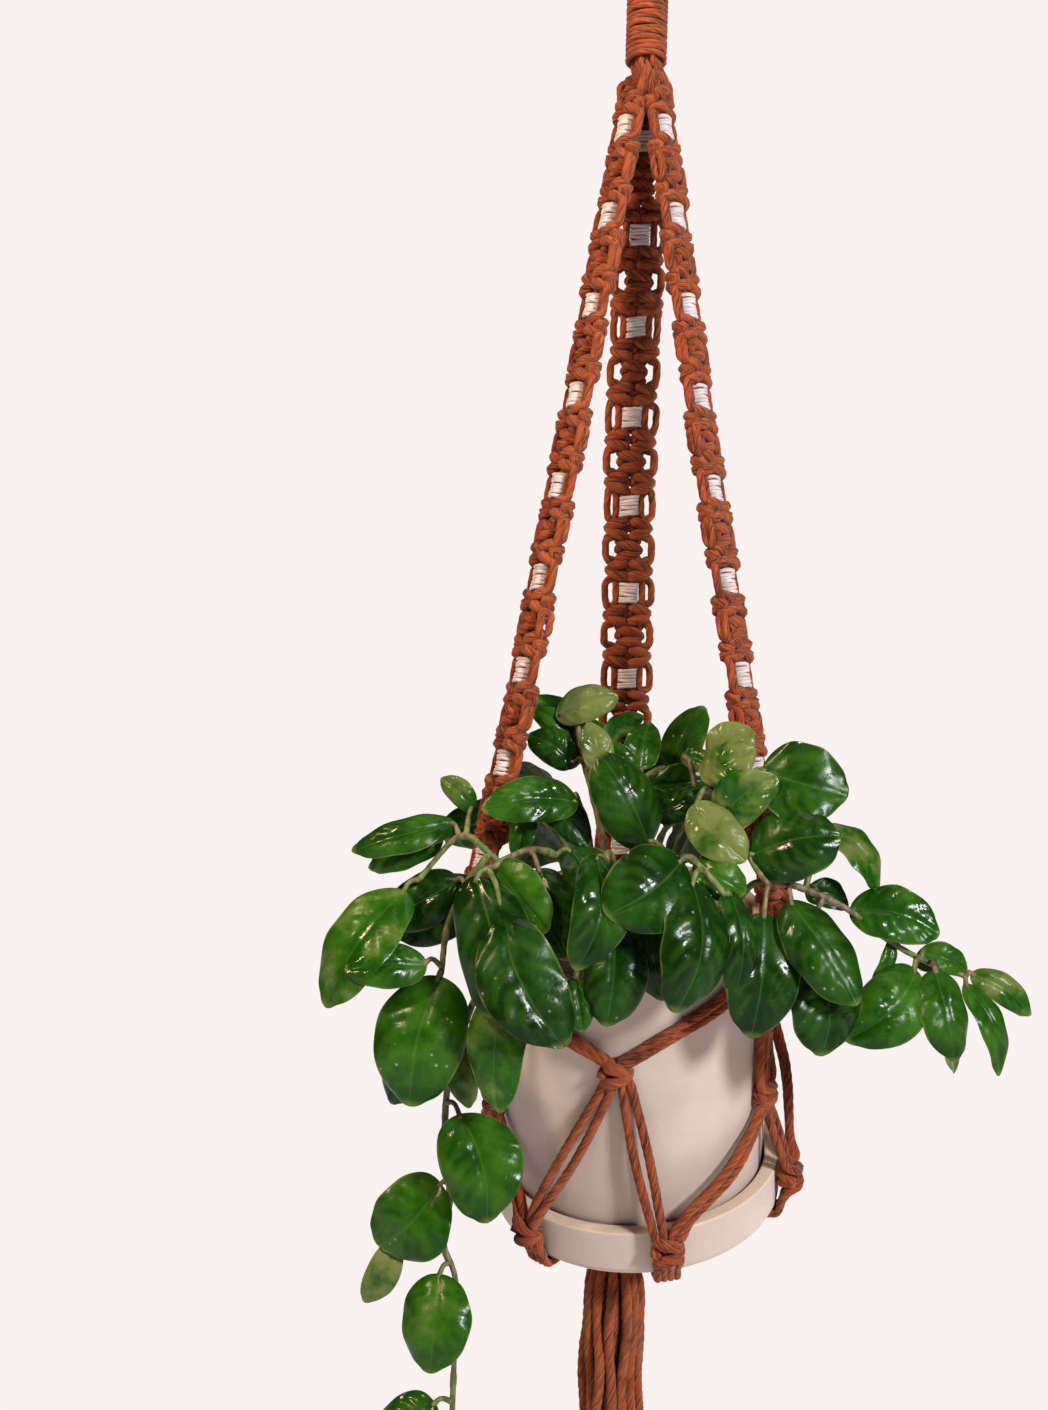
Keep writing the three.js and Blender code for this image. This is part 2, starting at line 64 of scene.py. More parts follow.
STRAP_AZIMUTH = {"strap_left": -66.0, "strap_right": 60.0, "strap_back": 178.0}
STRAP_TOP = WRAP_BOTTOM - 1
STRAP_TOP_RADIUS = 7.0
STRAP_SLOPE = math.radians(10)
STRAP_LENGTH = 427.4
BAND_FIRST, BAND_PITCH, BAND_COUNT, BAND_HEIGHT = 33.6, 46.0, 9, 12.0

LEAN_FRONT, LEAN_LEFT = math.radians(17), math.radians(6)
SAUCER_BOTTOM = np.array([12.5, 24.0, -680.0])
SAUCER_RADIUS, SAUCER_RIM_INNER, SAUCER_HEIGHT, SAUCER_FLOOR = 72.5, 65.5, 24.0, 4.6
POT_BOTTOM, POT_TOP, POT_WALL, POT_DRAIN, POT_FLOOR = 5.0, 152.0, 5.0, 6.0, 8.0
POT_OUTLINE = np.array([[60, POT_BOTTOM], [62.5, 9], [66, 40], [68, 85], [69, POT_TOP]])
SOIL_TOP = 132.0

# Upper net knots in order round the pot: azimuth, height over the saucer's bottom, gap to the wall.
UPPER_KNOTS = [(-8, 108, 0), (60, 71, 0), (118, 98, 9), (178, 72, 14), (232, 98, 9), (288, 71, 0)]
LOWER_AZIMUTHS = [6, 70, 130, 190, 248, 315]
LOWER_HEIGHT, LOWER_RADIUS = 19.0, 79.0
STRAPS_IN_ORDER = ["strap_right", "strap_back", "strap_left"]

GATHER_CENTRE = np.array([1.0, 8.0])
GATHER_TOP, GATHER_BOTTOM, GATHER_RADIUS = -692.0, -708.0, 10.5
TASSEL_BOTTOM = -938.0

# ---------- cord sizes ----------
CORD_RADIUS = 2.6
NET_CORD_RADIUS = 2.15  # a cord stretched by the pot's weight
KNOT_CORD_RADIUS = 2.4  # a cord pulled tight in a knot
BUNDLE_CORD_RADIUS = 1.5  # a cord squeezed inside a wrap
THREAD_RADIUS = 1.0
STEP = 1.25  # between the rings of a cord's surface
SIDES = 14
TWIST_LENGTH = 26.0  # of one turn of the cord's yarns
YARNS, YARN_RELIEF = 5, 0.06


# ---------- vectors and paths ----------
def unit(v):
    return v / np.linalg.norm(v, axis=-1, keepdims=True)


def outward(azimuth):
    """The level unit vector at an azimuth in degrees: 0 is the front, positive is to the right."""
    a = math.radians(azimuth)
    return np.array([math.sin(a), -math.cos(a), 0.0])


POT_AXES = np.array(
    Matrix.Rotation(-LEAN_LEFT, 3, "Y") @ Matrix.Rotation(LEAN_FRONT, 3, "X")
)


def in_pot(azimuth, radius, height):
    """A point round the leaning pot, in the object's frame."""
    return POT_AXES @ (outward(azimuth) * radius + UP * height) + SAUCER_BOTTOM


def pot_coordinates(point):
    """Azimuth, radius and height round the pot of a point in the object's frame."""
    x, y, z = POT_AXES.T @ (point - SAUCER_BOTTOM)
    return math.degrees(math.atan2(x, -y)), math.hypot(x, y), z


def pot_radius(height):
    return float(np.interp(height, POT_OUTLINE[:, 1], POT_OUTLINE[:, 0]))


def nearest_turn(azimuth, other):
    """azimuth plus or minus whole turns, as close to other as it gets."""
    return other + (azimuth - other + 180) % 360 - 180


def on_strap(name, across, out, along):
    azimuth = STRAP_AZIMUTH[name]
    front = outward(azimuth)
    down = front * math.sin(STRAP_SLOPE) - UP * math.cos(STRAP_SLOPE)
    face = front * math.cos(STRAP_SLOPE) + UP * math.sin(STRAP_SLOPE)
    start = front * STRAP_TOP_RADIUS + UP * STRAP_TOP
    return start + down * along + face * out + outward(azimuth + 90) * across


def smooth_path(points, step=STEP):
    """A Catmull-Rom curve through rows of x, y, z, radius, resampled in even steps."""
    p = np.asarray(points, float)
    padded = np.vstack([2 * p[0] - p[1], p, 2 * p[-1] - p[-2]])
    t = np.linspace(0, 1, 9)[:-1, None]
    pieces = []
    for a, b, c, d in zip(padded, padded[1:], padded[2:], padded[3:]):
        cubic = 3 * b - a - 3 * c + d
        pieces.append(0.5 * (2 * b + (c - a) * t + (2 * a - 5 * b + 4 * c - d) * t**2 + cubic * t**3))
    dense = np.vstack([*pieces, p[-1:]])
    run = np.concatenate([[0], np.cumsum(np.linalg.norm(np.diff(dense[:, :3], axis=0), axis=1))])
    at = np.linspace(0, run[-1], max(3, round(run[-1] / step) + 1))
    return np.stack([np.interp(at, run, dense[:, i]) for i in range(dense.shape[1])], axis=1)


def cross_frames(centre):
    """Two unit vectors across a path at each of its points, which turn as little as they can."""
    tangent = unit(np.gradient(centre, axis=0))
    guess = np.array([0.0, 1.0, 0.0]) if abs(tangent[0][1]) < 0.8 else np.array([1.0, 0.0, 0.0])
    side = np.empty_like(tangent)
    for i, t in enumerate(tangent):
        guess = guess - guess.dot(t) * t
        guess = guess / np.linalg.norm(guess)
        side[i] = guess
    return side, np.cross(tangent, side)


# ---------- meshes ----------
class Shape:
    """Vertices, faces and point attributes gathered for one mesh, in millimetres."""

    def __init__(self):
        self.points, self.faces, self.attributes, self.count = [], [], {}, 0

    def add(self, points, faces, **attributes):
        self.points.append(points)
        self.faces.extend((np.asarray(f) + self.count).tolist() for f in faces)
        for name, values in attributes.items():
            self.attributes.setdefault(name, []).append(np.broadcast_to(values, self.size_of(points, values)))
        self.count += len(points)

    @staticmethod
    def size_of(points, values):
        return (len(points), 3) if np.ndim(values) and np.shape(values)[-1] == 3 else (len(points),)

    def make(self, name, material, body, slot, replaces=()):
        mesh = bpy.data.meshes.new(name)
        mesh.from_pydata((np.vstack(self.points) * MM).tolist(), [], self.faces)
        for key, parts in self.attributes.items():
            values = np.concatenate(parts)
            kind = "FLOAT_VECTOR" if values.ndim == 2 else "FLOAT"
            layer = mesh.attributes.new(key, kind, "POINT")
            field = "vector" if values.ndim == 2 else "value"
            layer.data.foreach_set(field, values.astype(np.float32).ravel())
        mesh.polygons.foreach_set("use_smooth", [True] * len(mesh.polygons))
        mesh.materials.append(material)
        piece = bpy.data.objects.new(name, mesh)
        bpy.context.scene.collection.objects.link(piece)
        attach(piece, body)
        if replaces:
            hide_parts(*replaces)
        return piece


def grid_faces(rows, columns, closed):
    """Quads of a grid of points, joined round from the last column to the first when closed."""
    r = np.arange(rows - 1)[:, None]
    c = np.arange(columns if closed else columns - 1)[None, :]
    n = (c + 1) % columns
    corners = [r * columns + c, r * columns + n, (r + 1) * columns + n, (r + 1) * columns + c]
    return np.stack(np.broadcast_arrays(*corners), axis=-1).reshape(-1, 4)


def add_cord(shape, path, rng, sides=SIDES, relief=YARN_RELIEF, tone=None, spread=0.0):
    """A round twisted cord along rows of x, y, z, radius, closed at both ends."""
    centre, radius = path[:, :3], path[:, 3]
    side, other = cross_frames(centre)
    run = np.concatenate([[0], np.cumsum(np.linalg.norm(np.diff(centre, axis=0), axis=1))])
    angle = np.linspace(0, 2 * np.pi, sides, endpoint=False)[None, :]
    turned = angle - 2 * np.pi * run[:, None] / TWIST_LENGTH + rng.uniform(0, 6)
    bumps = 1 + relief * np.cos(YARNS * turned) + 0.4 * relief * np.cos(3 * turned + run[:, None] / 3)
    wander = 1 + spread * np.sin(run / 7 + rng.uniform(0, 6))
    r = radius[:, None] * bumps * wander[:, None]
    ring = side[:, None] * np.cos(angle)[..., None] + other[:, None] * np.sin(angle)[..., None]
    points = (centre[:, None] + ring * r[..., None]).reshape(-1, 3)
    shift = rng.uniform(0, 500)
    fibre = np.stack(
        [r * np.cos(turned), r * np.sin(turned), np.broadcast_to(run[:, None], r.shape) + shift], axis=-1
    )
    rows = len(centre)
    caps = [np.arange(sides)[::-1], np.arange(sides) + (rows - 1) * sides]
    faces = [*grid_faces(rows, sides, True), *caps]
    value = rng.uniform(-1, 1) if tone is None else tone
    shape.add(points, faces, fibre=fibre.reshape(-1, 3), tone=value)


# ---------- material helpers ----------
def new_material(name, roughness, **sockets):
    """A Principled material with plain values on its sockets. Returns it, its nodes and its shader."""
    material = bpy.data.materials.new(name)
    material.use_nodes = True
    tree = material.node_tree
    shader = tree.nodes["Principled BSDF"]
    shader.inputs["Roughness"].default_value = roughness
    for key, value in sockets.items():
        shader.inputs[key.replace("_", " ")].default_value = value
    return material, tree, shader


def link(tree, source, target):
    tree.links.new(source, target)


def attribute(tree, name, output="Fac"):
    node = tree.nodes.new("ShaderNodeAttribute")
    node.attribute_name = name
    return node.outputs[output]


def noise(tree, vector, scale, detail=3.0, roughness=0.55, distortion=0.0):
    node = tree.nodes.new("ShaderNodeTexNoise")
    node.inputs["Scale"].default_value = scale
    node.inputs["Detail"].default_value = detail
    node.inputs["Roughness"].default_value = roughness
    node.inputs["Distortion"].default_value = distortion
    link(tree, vector, node.inputs["Vector"])
    return node.outputs["Fac"]


def voronoi(tree, vector, scale, feature="F1"):
    node = tree.nodes.new("ShaderNodeTexVoronoi")
    node.feature = feature
    node.inputs["Scale"].default_value = scale
    link(tree, vector, node.inputs["Vector"])
    return node.outputs["Distance"]


def stretched(tree, vector, scale):
    node = tree.nodes.new("ShaderNodeMapping")
    node.inputs["Scale"].default_value = scale
    link(tree, vector, node.inputs["Vector"])
    return node.outputs["Vector"]


def object_space(tree):
    return tree.nodes.new("ShaderNodeTexCoord").outputs["Object"]


def remap(tree, value, low, high, to_low=0.0, to_high=1.0):
    """value from low to high becomes to_low to to_high, smoothly and clamped."""
    node = tree.nodes.new("ShaderNodeMapRange")
    node.interpolation_type = "SMOOTHSTEP"
    for socket, number in zip(node.inputs[1:5], (low, high, to_low, to_high)):
        socket.default_value = number
    link(tree, value, node.inputs["Value"])
    return node.outputs["Result"]


def math_node(tree, operation, first, second):
    node = tree.nodes.new("ShaderNodeMath")
    node.operation = operation
    for socket, value in zip(node.inputs, (first, second)):
        if isinstance(value, (int, float)):
            socket.default_value = value
        else:
            link(tree, value, socket)
    return node.outputs["Value"]


def mix(tree, factor, first, second):
    """Blends two colours, each an RGB triple or a node's output."""
    node = tree.nodes.new("ShaderNodeMix")
    node.data_type = "RGBA"
    link(tree, factor, node.inputs["Factor"])
    for key, value in (("A", first), ("B", second)):
        socket = next(s for s in node.inputs if s.name == key and s.type == "RGBA")
        if isinstance(value, tuple):
            socket.default_value = (*value, 1)
        else:
            link(tree, value, socket)
    return next(s for s in node.outputs if s.type == "RGBA")


def bump(tree, shader, height, distance, strength=1.0):
    node = tree.nodes.new("ShaderNodeBump")
    node.inputs["Distance"].default_value = distance
    node.inputs["Strength"].default_value = strength
    link(tree, height, node.inputs["Height"])
    link(tree, node.outputs["Normal"], shader.inputs["Normal"])


def split_vector(tree, vector):
    node = tree.nodes.new("ShaderNodeSeparateXYZ")
    link(tree, vector, node.inputs["Vector"])
    return node.outputs


# ---------- materials ----------
def cord_material(name, dark, middle, light, fleck):
    """Twisted cotton: streaks that follow the yarns, a tone for each cord, a soft sheen."""
    material, tree, shader = new_material(name, 0.9, Sheen_Weight=0.12, Sheen_Roughness=0.5)
    shader.inputs["Specular IOR Level"].default_value = 0.15
    fibre = attribute(tree, "fibre", "Vector")
    streaks = noise(tree, stretched(tree, fibre, (0.75, 0.75, 0.07)), 1.0, 3.0)
    fine = noise(tree, stretched(tree, fibre, (2.4, 2.4, 0.14)), 1.0, 3.0)
    patches = noise(tree, object_space(tree), 70.0, 2.0)
    tone = attribute(tree, "tone")
    base = mix(tree, remap(tree, streaks, 0.38, 0.56), dark, middle)
    base = mix(tree, remap(tree, fine, 0.5, 0.72), base, light)
    base = mix(tree, remap(tree, tone, -1.4, 1.6, 0.0, 0.28), base, light)
    base = mix(tree, remap(tree, patches, 0.52, 0.8, 0.0, 0.6), base, dark)
    strands = voronoi(tree, stretched(tree, fibre, (1.6, 1.6, 0.08)), 1.0)
    base = mix(tree, remap(tree, strands, 0.05, 0.16, 0.55, 0.0), base, fleck)
    link(tree, base, shader.inputs["Base Color"])
    relief = math_node(tree, "ADD", streaks, math_node(tree, "MULTIPLY", fine, 0.5))
    bump(tree, shader, relief, 1.1 * MM, 1.0)
    return material


def ceramic_material(name, shade, warm, speck):
    """Unglazed stoneware: mottled, with pinholes, faint scratches and a sandy bare rim."""
    material, tree, shader = new_material(name, 0.62, Specular_IOR_Level=0.35)
    space = object_space(tree)
    cloud = noise(tree, space, 14.0, 4.0)
    grain = noise(tree, space, 900.0, 3.0)
    base = mix(tree, remap(tree, cloud, 0.38, 0.66), shade, warm)
    base = mix(tree, remap(tree, grain, 0.55, 0.75, 0.0, 0.18), base, speck)
    holes = voronoi(tree, space, 95.0)
    sparse = remap(tree, noise(tree, space, 31.0, 2.0), 0.6, 0.66)
    hole = math_node(tree, "MULTIPLY", remap(tree, holes, 0.035, 0.075, 1.0, 0.0), sparse)
    base = mix(tree, hole, base, speck)
    lines = noise(tree, stretched(tree, space, (30.0, 260.0, 900.0)), 1.0, 2.0)
    scratch = math_node(tree, "MULTIPLY", remap(tree, lines, 0.69, 0.73, 0.0, 0.35), sparse)
    base = mix(tree, scratch, base, speck)
    bare = attribute(tree, "bare")
    rubbed = remap(tree, noise(tree, space, 420.0, 4.0), 0.25, 0.7, 0.55, 1.0)
    worn = math_node(tree, "MULTIPLY", bare, rubbed)
    base = mix(tree, worn, base, (0.72, 0.53, 0.38))
    link(tree, base, shader.inputs["Base Color"])
    link(tree, remap(tree, cloud, 0.3, 0.7, 0.5, 0.72), shader.inputs["Roughness"])
    pits = math_node(tree, "SUBTRACT", math_node(tree, "MULTIPLY", grain, 0.25), hole)
    bump(tree, shader, pits, 0.35 * MM, 0.7)
    return material


def leaf_material():
    """Glossy crinkled leaves: dark middles, paler margins and ribs, silver flecks, and painted light that
    makes the crests of the quilted bulges a lighter green.
    """
    material, tree, shader = new_material("leaf", 0.25, Specular_IOR_Level=0.17)
    across, along, age = split_vector(tree, attribute(tree, "leaf", "Vector"))
    bulge = attribute(tree, "bulge")
    space = object_space(tree)
    cloud = noise(tree, space, 60.0, 4.0)
    dark = mix(tree, remap(tree, cloud, 0.35, 0.68), (0.003, 0.016, 0.0015), (0.008, 0.048, 0.002))
    fresh = mix(tree, remap(tree, cloud, 0.35, 0.68), (0.009, 0.06, 0.002), (0.036, 0.125, 0.0035))
    base = mix(tree, remap(tree, age, 0.15, 0.85), dark, fresh)
    # Painted light: the crests of the quilted bulges are painted a lighter green, as if catching the light,
    # so the hollows between them stay darker.
    base = mix(tree, remap(tree, bulge, 0.45, 0.95, 0.0, 0.2), base, (0.05, 0.13, 0.008))
    olive = remap(tree, math_node(tree, "ADD", age, cloud), 1.25, 1.5, 0.0, 0.8)
    base = mix(tree, olive, base, (0.15, 0.165, 0.05))
    edge = math_node(tree, "ABSOLUTE", across, 0.0)
    uneven_edge = math_node(tree, "ADD", edge, math_node(tree, "MULTIPLY", cloud, 0.2))
    margin = remap(tree, uneven_edge, 1.04, 1.12, 0, 0.45)
    base = mix(tree, margin, base, (0.2, 0.22, 0.06))
    rib = remap(tree, edge, 0.01, 0.05, 0.3, 0.0)
    base = mix(tree, rib, base, (0.06, 0.14, 0.02))
    spots = voronoi(tree, space, 210.0)
    where = remap(tree, noise(tree, space, 48.0, 3.0), 0.56, 0.64)
    fleck = math_node(tree, "MULTIPLY", remap(tree, spots, 0.06, 0.2, 0.6, 0.0), where)
    base = mix(tree, fleck, base, (0.33, 0.4, 0.28))
    tip = remap(tree, along, 0.93, 1.0, 0.0, 0.5)
    base = mix(tree, tip, base, (0.16, 0.2, 0.04))
    link(tree, base, shader.inputs["Base Color"])
    link(tree, remap(tree, cloud, 0.3, 0.7, 0.15, 0.36), shader.inputs["Roughness"])
    veins = voronoi(tree, space, 420.0, "DISTANCE_TO_EDGE")
    swellings = math_node(tree, "MULTIPLY", cloud, 1.6)
    skin = math_node(tree, "ADD", swellings, math_node(tree, "MULTIPLY", veins, 0.3))
    bump(tree, shader, skin, 0.5 * MM, 0.45)
    return material


def stem_material():
    material, tree, shader = new_material("stem", 0.6)
    space = object_space(tree)
    bark = noise(tree, stretched(tree, space, (1.0, 1.0, 0.35)), 420.0, 4.0)
    cloud = noise(tree, space, 34.0, 2.0)
    green = mix(tree, remap(tree, bark, 0.35, 0.7), (0.06, 0.1, 0.018), (0.17, 0.2, 0.06))
    brown = mix(tree, remap(tree, bark, 0.35, 0.7), (0.07, 0.04, 0.018), (0.22, 0.15, 0.08))
    link(tree, mix(tree, remap(tree, cloud, 0.42, 0.58), green, brown), shader.inputs["Base Color"])
    bump(tree, shader, bark, 0.4 * MM, 0.8)
    return material


def soil_material():
    material, tree, shader = new_material("potting_soil", 0.95)
    space = object_space(tree)
    crumbs = noise(tree, space, 380.0, 6.0)
    flakes = voronoi(tree, space, 260.0)
    base = mix(tree, remap(tree, crumbs, 0.35, 0.7), (0.012, 0.007, 0.004), (0.07, 0.04, 0.022))
    base = mix(tree, remap(tree, flakes, 0.0, 0.16, 0.7, 0.0), base, (0.14, 0.09, 0.05))
    link(tree, base, shader.inputs["Base Color"])
    bump(tree, shader, crumbs, 1.2 * MM, 1.0)
    return material


def wood_material():
    """A turned ring of pale wood, its grain running level through the ring."""
    material, tree, shader = new_material("ring_wood", 0.5, Coat_Weight=0.15, Coat_Roughness=0.3)
    space = object_space(tree)
    grain = noise(tree, stretched(tree, space, (30.0, 420.0, 420.0)), 1.0, 5.0, 0.6, 0.8)
    pores = noise(tree, stretched(tree, space, (120.0, 1600.0, 1600.0)), 1.0, 2.0)
    base = mix(tree, remap(tree, grain, 0.35, 0.66), (0.34, 0.19, 0.09), (0.6, 0.4, 0.22))
    base = mix(tree, remap(tree, pores, 0.6, 0.75, 0.0, 0.6), base, (0.2, 0.1, 0.045))
    link(tree, base, shader.inputs["Base Color"])
    bump(tree, shader, math_node(tree, "ADD", grain, pores), 0.15 * MM, 0.5)
    return material


RUST = cord_material(
    "rust_cotton", (0.05, 0.006, 0.003), (0.27, 0.042, 0.012), (0.5, 0.135, 0.032), (0.66, 0.28, 0.1)
)
PALE = cord_material(
    "pale_thread", (0.5, 0.4, 0.4), (0.72, 0.63, 0.63), (0.84, 0.77, 0.77), (0.9, 0.86, 0.86)
)
POT_CLAY = ceramic_material("pot_stoneware", (0.49, 0.385, 0.335), (0.59, 0.475, 0.42), (0.2, 0.14, 0.1))
SAUCER_CLAY = ceramic_material("saucer_stoneware", (0.55, 0.43, 0.38), (0.66, 0.53, 0.47), (0.24, 0.17, 0.13))
LEAF, STEM, SOIL, WOOD = leaf_material(), stem_material(), soil_material(), wood_material()


# ---------- camera, floor and light ----------
CAMERA_AT = np.array([-52.2, -775.0, -443.8]) * MM
CAMERA_PITCH, CAMERA_ROLL = math.radians(0.7), math.radians(1.6)
LENS = 39.6


def make_camera():
    data = bpy.data.cameras.new("camera")
    data.lens = LENS
    data.clip_start, data.clip_end = 0.01, 50
    camera = bpy.data.objects.new("camera", data)
    level = Matrix.Rotation(math.pi / 2 + CAMERA_PITCH, 4, "X")
    camera.matrix_world = Matrix.Translation(CAMERA_AT) @ level @ Matrix.Rotation(CAMERA_ROLL, 4, "Z")
    bpy.context.scene.collection.objects.link(camera)
    bpy.context.scene.camera = camera


FLOOR_DROP, FLOOR_RADIUS = 0.35, 12.0
BACKDROP = (0.956, 0.887, 0.871)


def floor_material():
    """Pale and matt under the object, and fading to the backdrop's own colour further out."""
    material, tree, shader = new_material("floor", 0.9)
    shader.inputs["Base Color"].default_value = (*BACKDROP, 1)
    backdrop = tree.nodes.new("ShaderNodeEmission")
    backdrop.inputs["Color"].default_value = (*BACKDROP, 1)
    distance = tree.nodes.new("ShaderNodeVectorMath")
    distance.operation = "LENGTH"
    link(tree, object_space(tree), distance.inputs[0])
    blend = tree.nodes.new("ShaderNodeMixShader")
    link(tree, remap(tree, distance.outputs["Value"], 0.35, 1.0, 0.6, 1.0), blend.inputs["Fac"])
    link(tree, shader.outputs["BSDF"], blend.inputs[1])
    link(tree, backdrop.outputs["Emission"], blend.inputs[2])
    link(tree, blend.outputs["Shader"], tree.nodes["Material Output"].inputs["Surface"])
    return material


def make_floor():
    mesh = bpy.data.meshes.new("floor")
    turn = np.linspace(0, 2 * np.pi, 96, endpoint=False)
    rim = np.stack([FLOOR_RADIUS * np.cos(turn), FLOOR_RADIUS * np.sin(turn), 0 * turn], axis=1)
    mesh.from_pydata(rim.tolist(), [], [list(range(96))])
    mesh.materials.append(floor_material())
    floor = bpy.data.objects.new("floor", mesh)
    floor.location.z = cad_box[0][2] - FLOOR_DROP
    bpy.context.scene.collection.objects.link(floor)


# Each light: name, place and target in metres, width in metres, power in watts, colour.
LIGHTS = [
    ("window_right", (1.0, -1.6, 0.3), (0, 0, -0.5), 0.36, 46, (0.95, 0.98, 1.0)),
    ("lamp_left", (-0.6, -0.55, 0.2), (0, 0, -0.25), 0.14, 9.5, (1.0, 0.74, 0.46)),
    ("fill_top", (0.3, -0.1, 1.3), (0, 0, -0.5), 0.9, 4, (1.0, 0.95, 0.88)),
]
AMBIENT_COLOUR, AMBIENT_STRENGTH = (1.0, 0.93, 0.88), 0.06


def make_lights():
    for name, at, target, size, power, colour in LIGHTS:
        data = bpy.data.lights.new(name, "AREA")
        data.shape, data.size, data.energy, data.color = "DISK", size, power, colour
        lamp = bpy.data.objects.new(name, data)
        toward = Matrix.Translation(at).to_translation() - Matrix.Translation(target).to_translation()
        lamp.matrix_world = Matrix.Translation(at) @ toward.to_track_quat("Z", "Y").to_matrix().to_4x4()
        bpy.context.scene.collection.objects.link(lamp)


def make_world():
    """A plain pale backdrop, which lights the object more dimly than it looks."""
    world = bpy.data.worlds.new("world")
    world.use_nodes = True
    tree = world.node_tree
    shown = tree.nodes["Background"]
    shown.inputs["Color"].default_value = (*BACKDROP, 1)
    ambient = tree.nodes.new("ShaderNodeBackground")
    ambient.inputs["Color"].default_value = (*AMBIENT_COLOUR, 1)
    ambient.inputs["Strength"].default_value = AMBIENT_STRENGTH
    choice = tree.nodes.new("ShaderNodeMixShader")
    link(tree, tree.nodes.new("ShaderNodeLightPath").outputs["Is Camera Ray"], choice.inputs["Fac"])
    link(tree, ambient.outputs["Background"], choice.inputs[1])
    link(tree, shown.outputs["Background"], choice.inputs[2])
    link(tree, choice.outputs["Shader"], tree.nodes["World Output"].inputs["Surface"])
    bpy.context.scene.world = world
    bpy.context.scene.view_settings.view_transform = "Standard"


# ---------- square knots ----------
def square_knot(half_width, rise, height, halves, filler_gap=1.7):
    """Control points of the four cords of a knot, as rows of across, out, down, radius.

    The first cord always crosses in front of the two middle ones and the last behind them; each half
    knot carries them to the other side, and the last comes up over the first as it turns back.
    """
    front, behind = [], []
    for k in range(halves):
        side = -1 if k % 2 == 0 else 1
        front += [(side * 1.0, 0.25, k + 0.1, 0.92), (side * 0.45, 1.02, k + 0.38, 1.14)]
        front += [(-side * 0.45, 1.02, k + 0.6, 1.14), (-side * 1.0, 0.0, k + 0.9, 0.92)]
        behind += [(-side * 1.06, 0.6, k + 0.1, 0.98), (-side * 0.5, -0.92, k + 0.4, 1.12)]
        behind += [(side * 0.5, -0.95, k + 0.62, 1.12), (side * 1.0, -0.1, k + 0.9, 0.92)]
        if k < halves - 1:
            front.append((-side * 1.06, -0.35, k + 1.0, 0.92))
            behind.append((side * 1.1, 0.72, k + 1.0, 1.0))
    scale = height / halves

    def rows(points):
        return [(u * half_width, w * rise, t * scale, r * KNOT_CORD_RADIUS) for u, w, t, r in points]

    fillers = [
        [(g, 0.3, 0.1 * height, 1.9), (g, -0.1, 0.5 * height, 1.7), (g, 0.3, 0.9 * height, 1.9)]
        for g in (-filler_gap, filler_gap)
    ]
    return [rows(front), *fillers, rows(behind)]


def mirrored(knot):
    """The same knot seen the other way round, its cords still listed from left to right."""
    return [[(-u, w, v, r) for u, w, v, r in cord] for cord in knot[::-1]]


# ---------- straps ----------
PAIR_KNOT = dict(half_width=4.7, rise=2.9, height=11.0, halves=2)
PAIR_CENTRE = 5.9
CENTRE_KNOT = dict(half_width=5.1, rise=2.9, height=11.0, halves=2)
OUTER_AT_KNOT = ((-11.9, 1.5), (-11.7, -1.7))  # across and out of the two outer cords beside a centre knot
OUTER_AT_BAND = ((-11.9, 0.3), (-6.9, -0.5))
OUTER_BOW = 0.35  # of an outer cord away from the middle, halfway past a knot or band
OUTER_RADIUS = 1.85
BUNDLE = ((-1.9, 1.6), (-1.7, -1.7), (1.7, -1.7), (1.9, 1.6))  # the middle cords inside a thread band


def strap_rows():
    """Each row of a strap: what it is and where it starts, from the wrap to the net."""
    rows = [("centre", 5.6), ("pair", 16.6)]
    for i in range(BAND_COUNT):
        middle = BAND_FIRST + i * BAND_PITCH
        rows.append(("band", middle - BAND_HEIGHT / 2))
        rows.append(("pair", middle + 6.2))
        rows.append(("centre", middle + 17.3))
        if i < BAND_COUNT - 1:
            rows.append(("pair", middle + 28.4))
    return rows


def strap_controls(rng):
    """Control points of a strap's eight cords in the strap's own frame."""
    cords = [[] for _ in range(8)]
    for i, cord in enumerate(cords):
        u, w = (i % 4 - 1.5) * 2.7, -1.6 if i < 4 else 1.6
        cord.append((u, w, -16.0, BUNDLE_CORD_RADIUS))
        cord.append((u, w, -1.0, BUNDLE_CORD_RADIUS))
    for kind, start in strap_rows():
        if kind == "pair":
            left = square_knot(**PAIR_KNOT)
            tie(cords, 0, left, -PAIR_CENTRE, start, rng)
            tie(cords, 4, mirrored(left), PAIR_CENTRE, start, rng)
            continue
        height = BAND_HEIGHT if kind == "band" else CENTRE_KNOT["height"]
        for j, (u, w) in enumerate(OUTER_AT_BAND if kind == "band" else OUTER_AT_KNOT):
            for cord, sign in ((j, 1), (7 - j, -1)):
                du, dw = rng.normal(0, 0.35, 2)
                bow = OUTER_BOW if u < -10 else 0
                for t, swing in ((0.1, 0), (0.5, bow), (0.9, 0)):
                    row = (sign * (u - swing) + du, w + dw, start + t * height, OUTER_RADIUS)
                    cords[cord].append(row)
        if kind == "centre":
            tie(cords, 2, square_knot(**CENTRE_KNOT), 0, start, rng)
            continue
        for j, (u, w) in enumerate(BUNDLE):
            cords[2 + j] += [(u, w, start + t * BAND_HEIGHT, 1.7) for t in (0.1, 0.5, 0.9)]
    return cords


def tie(cords, first, knot, centre, start, rng):
    """Adds a knot's points to four neighbouring cords, with a hand's unevenness in size, place and turn."""
    size = 1 + rng.normal(0, 0.04)
    turn, du, dw, dv = rng.normal(0, (0.05, 0.3, 0.25, 0.25))
    middle = knot[0][-1][2] / 2
    for j, points in enumerate(knot):
        for u, w, v, r in points:
            across = centre + du + size * (u - turn * (v - middle))
            cords[first + j].append((across, w * size + dw, start + dv + v + turn * u, r * size))


STRAP_SAG = {"strap_left": -3.6, "strap_right": -2.6, "strap_back": 0.0}  # in from the straight line


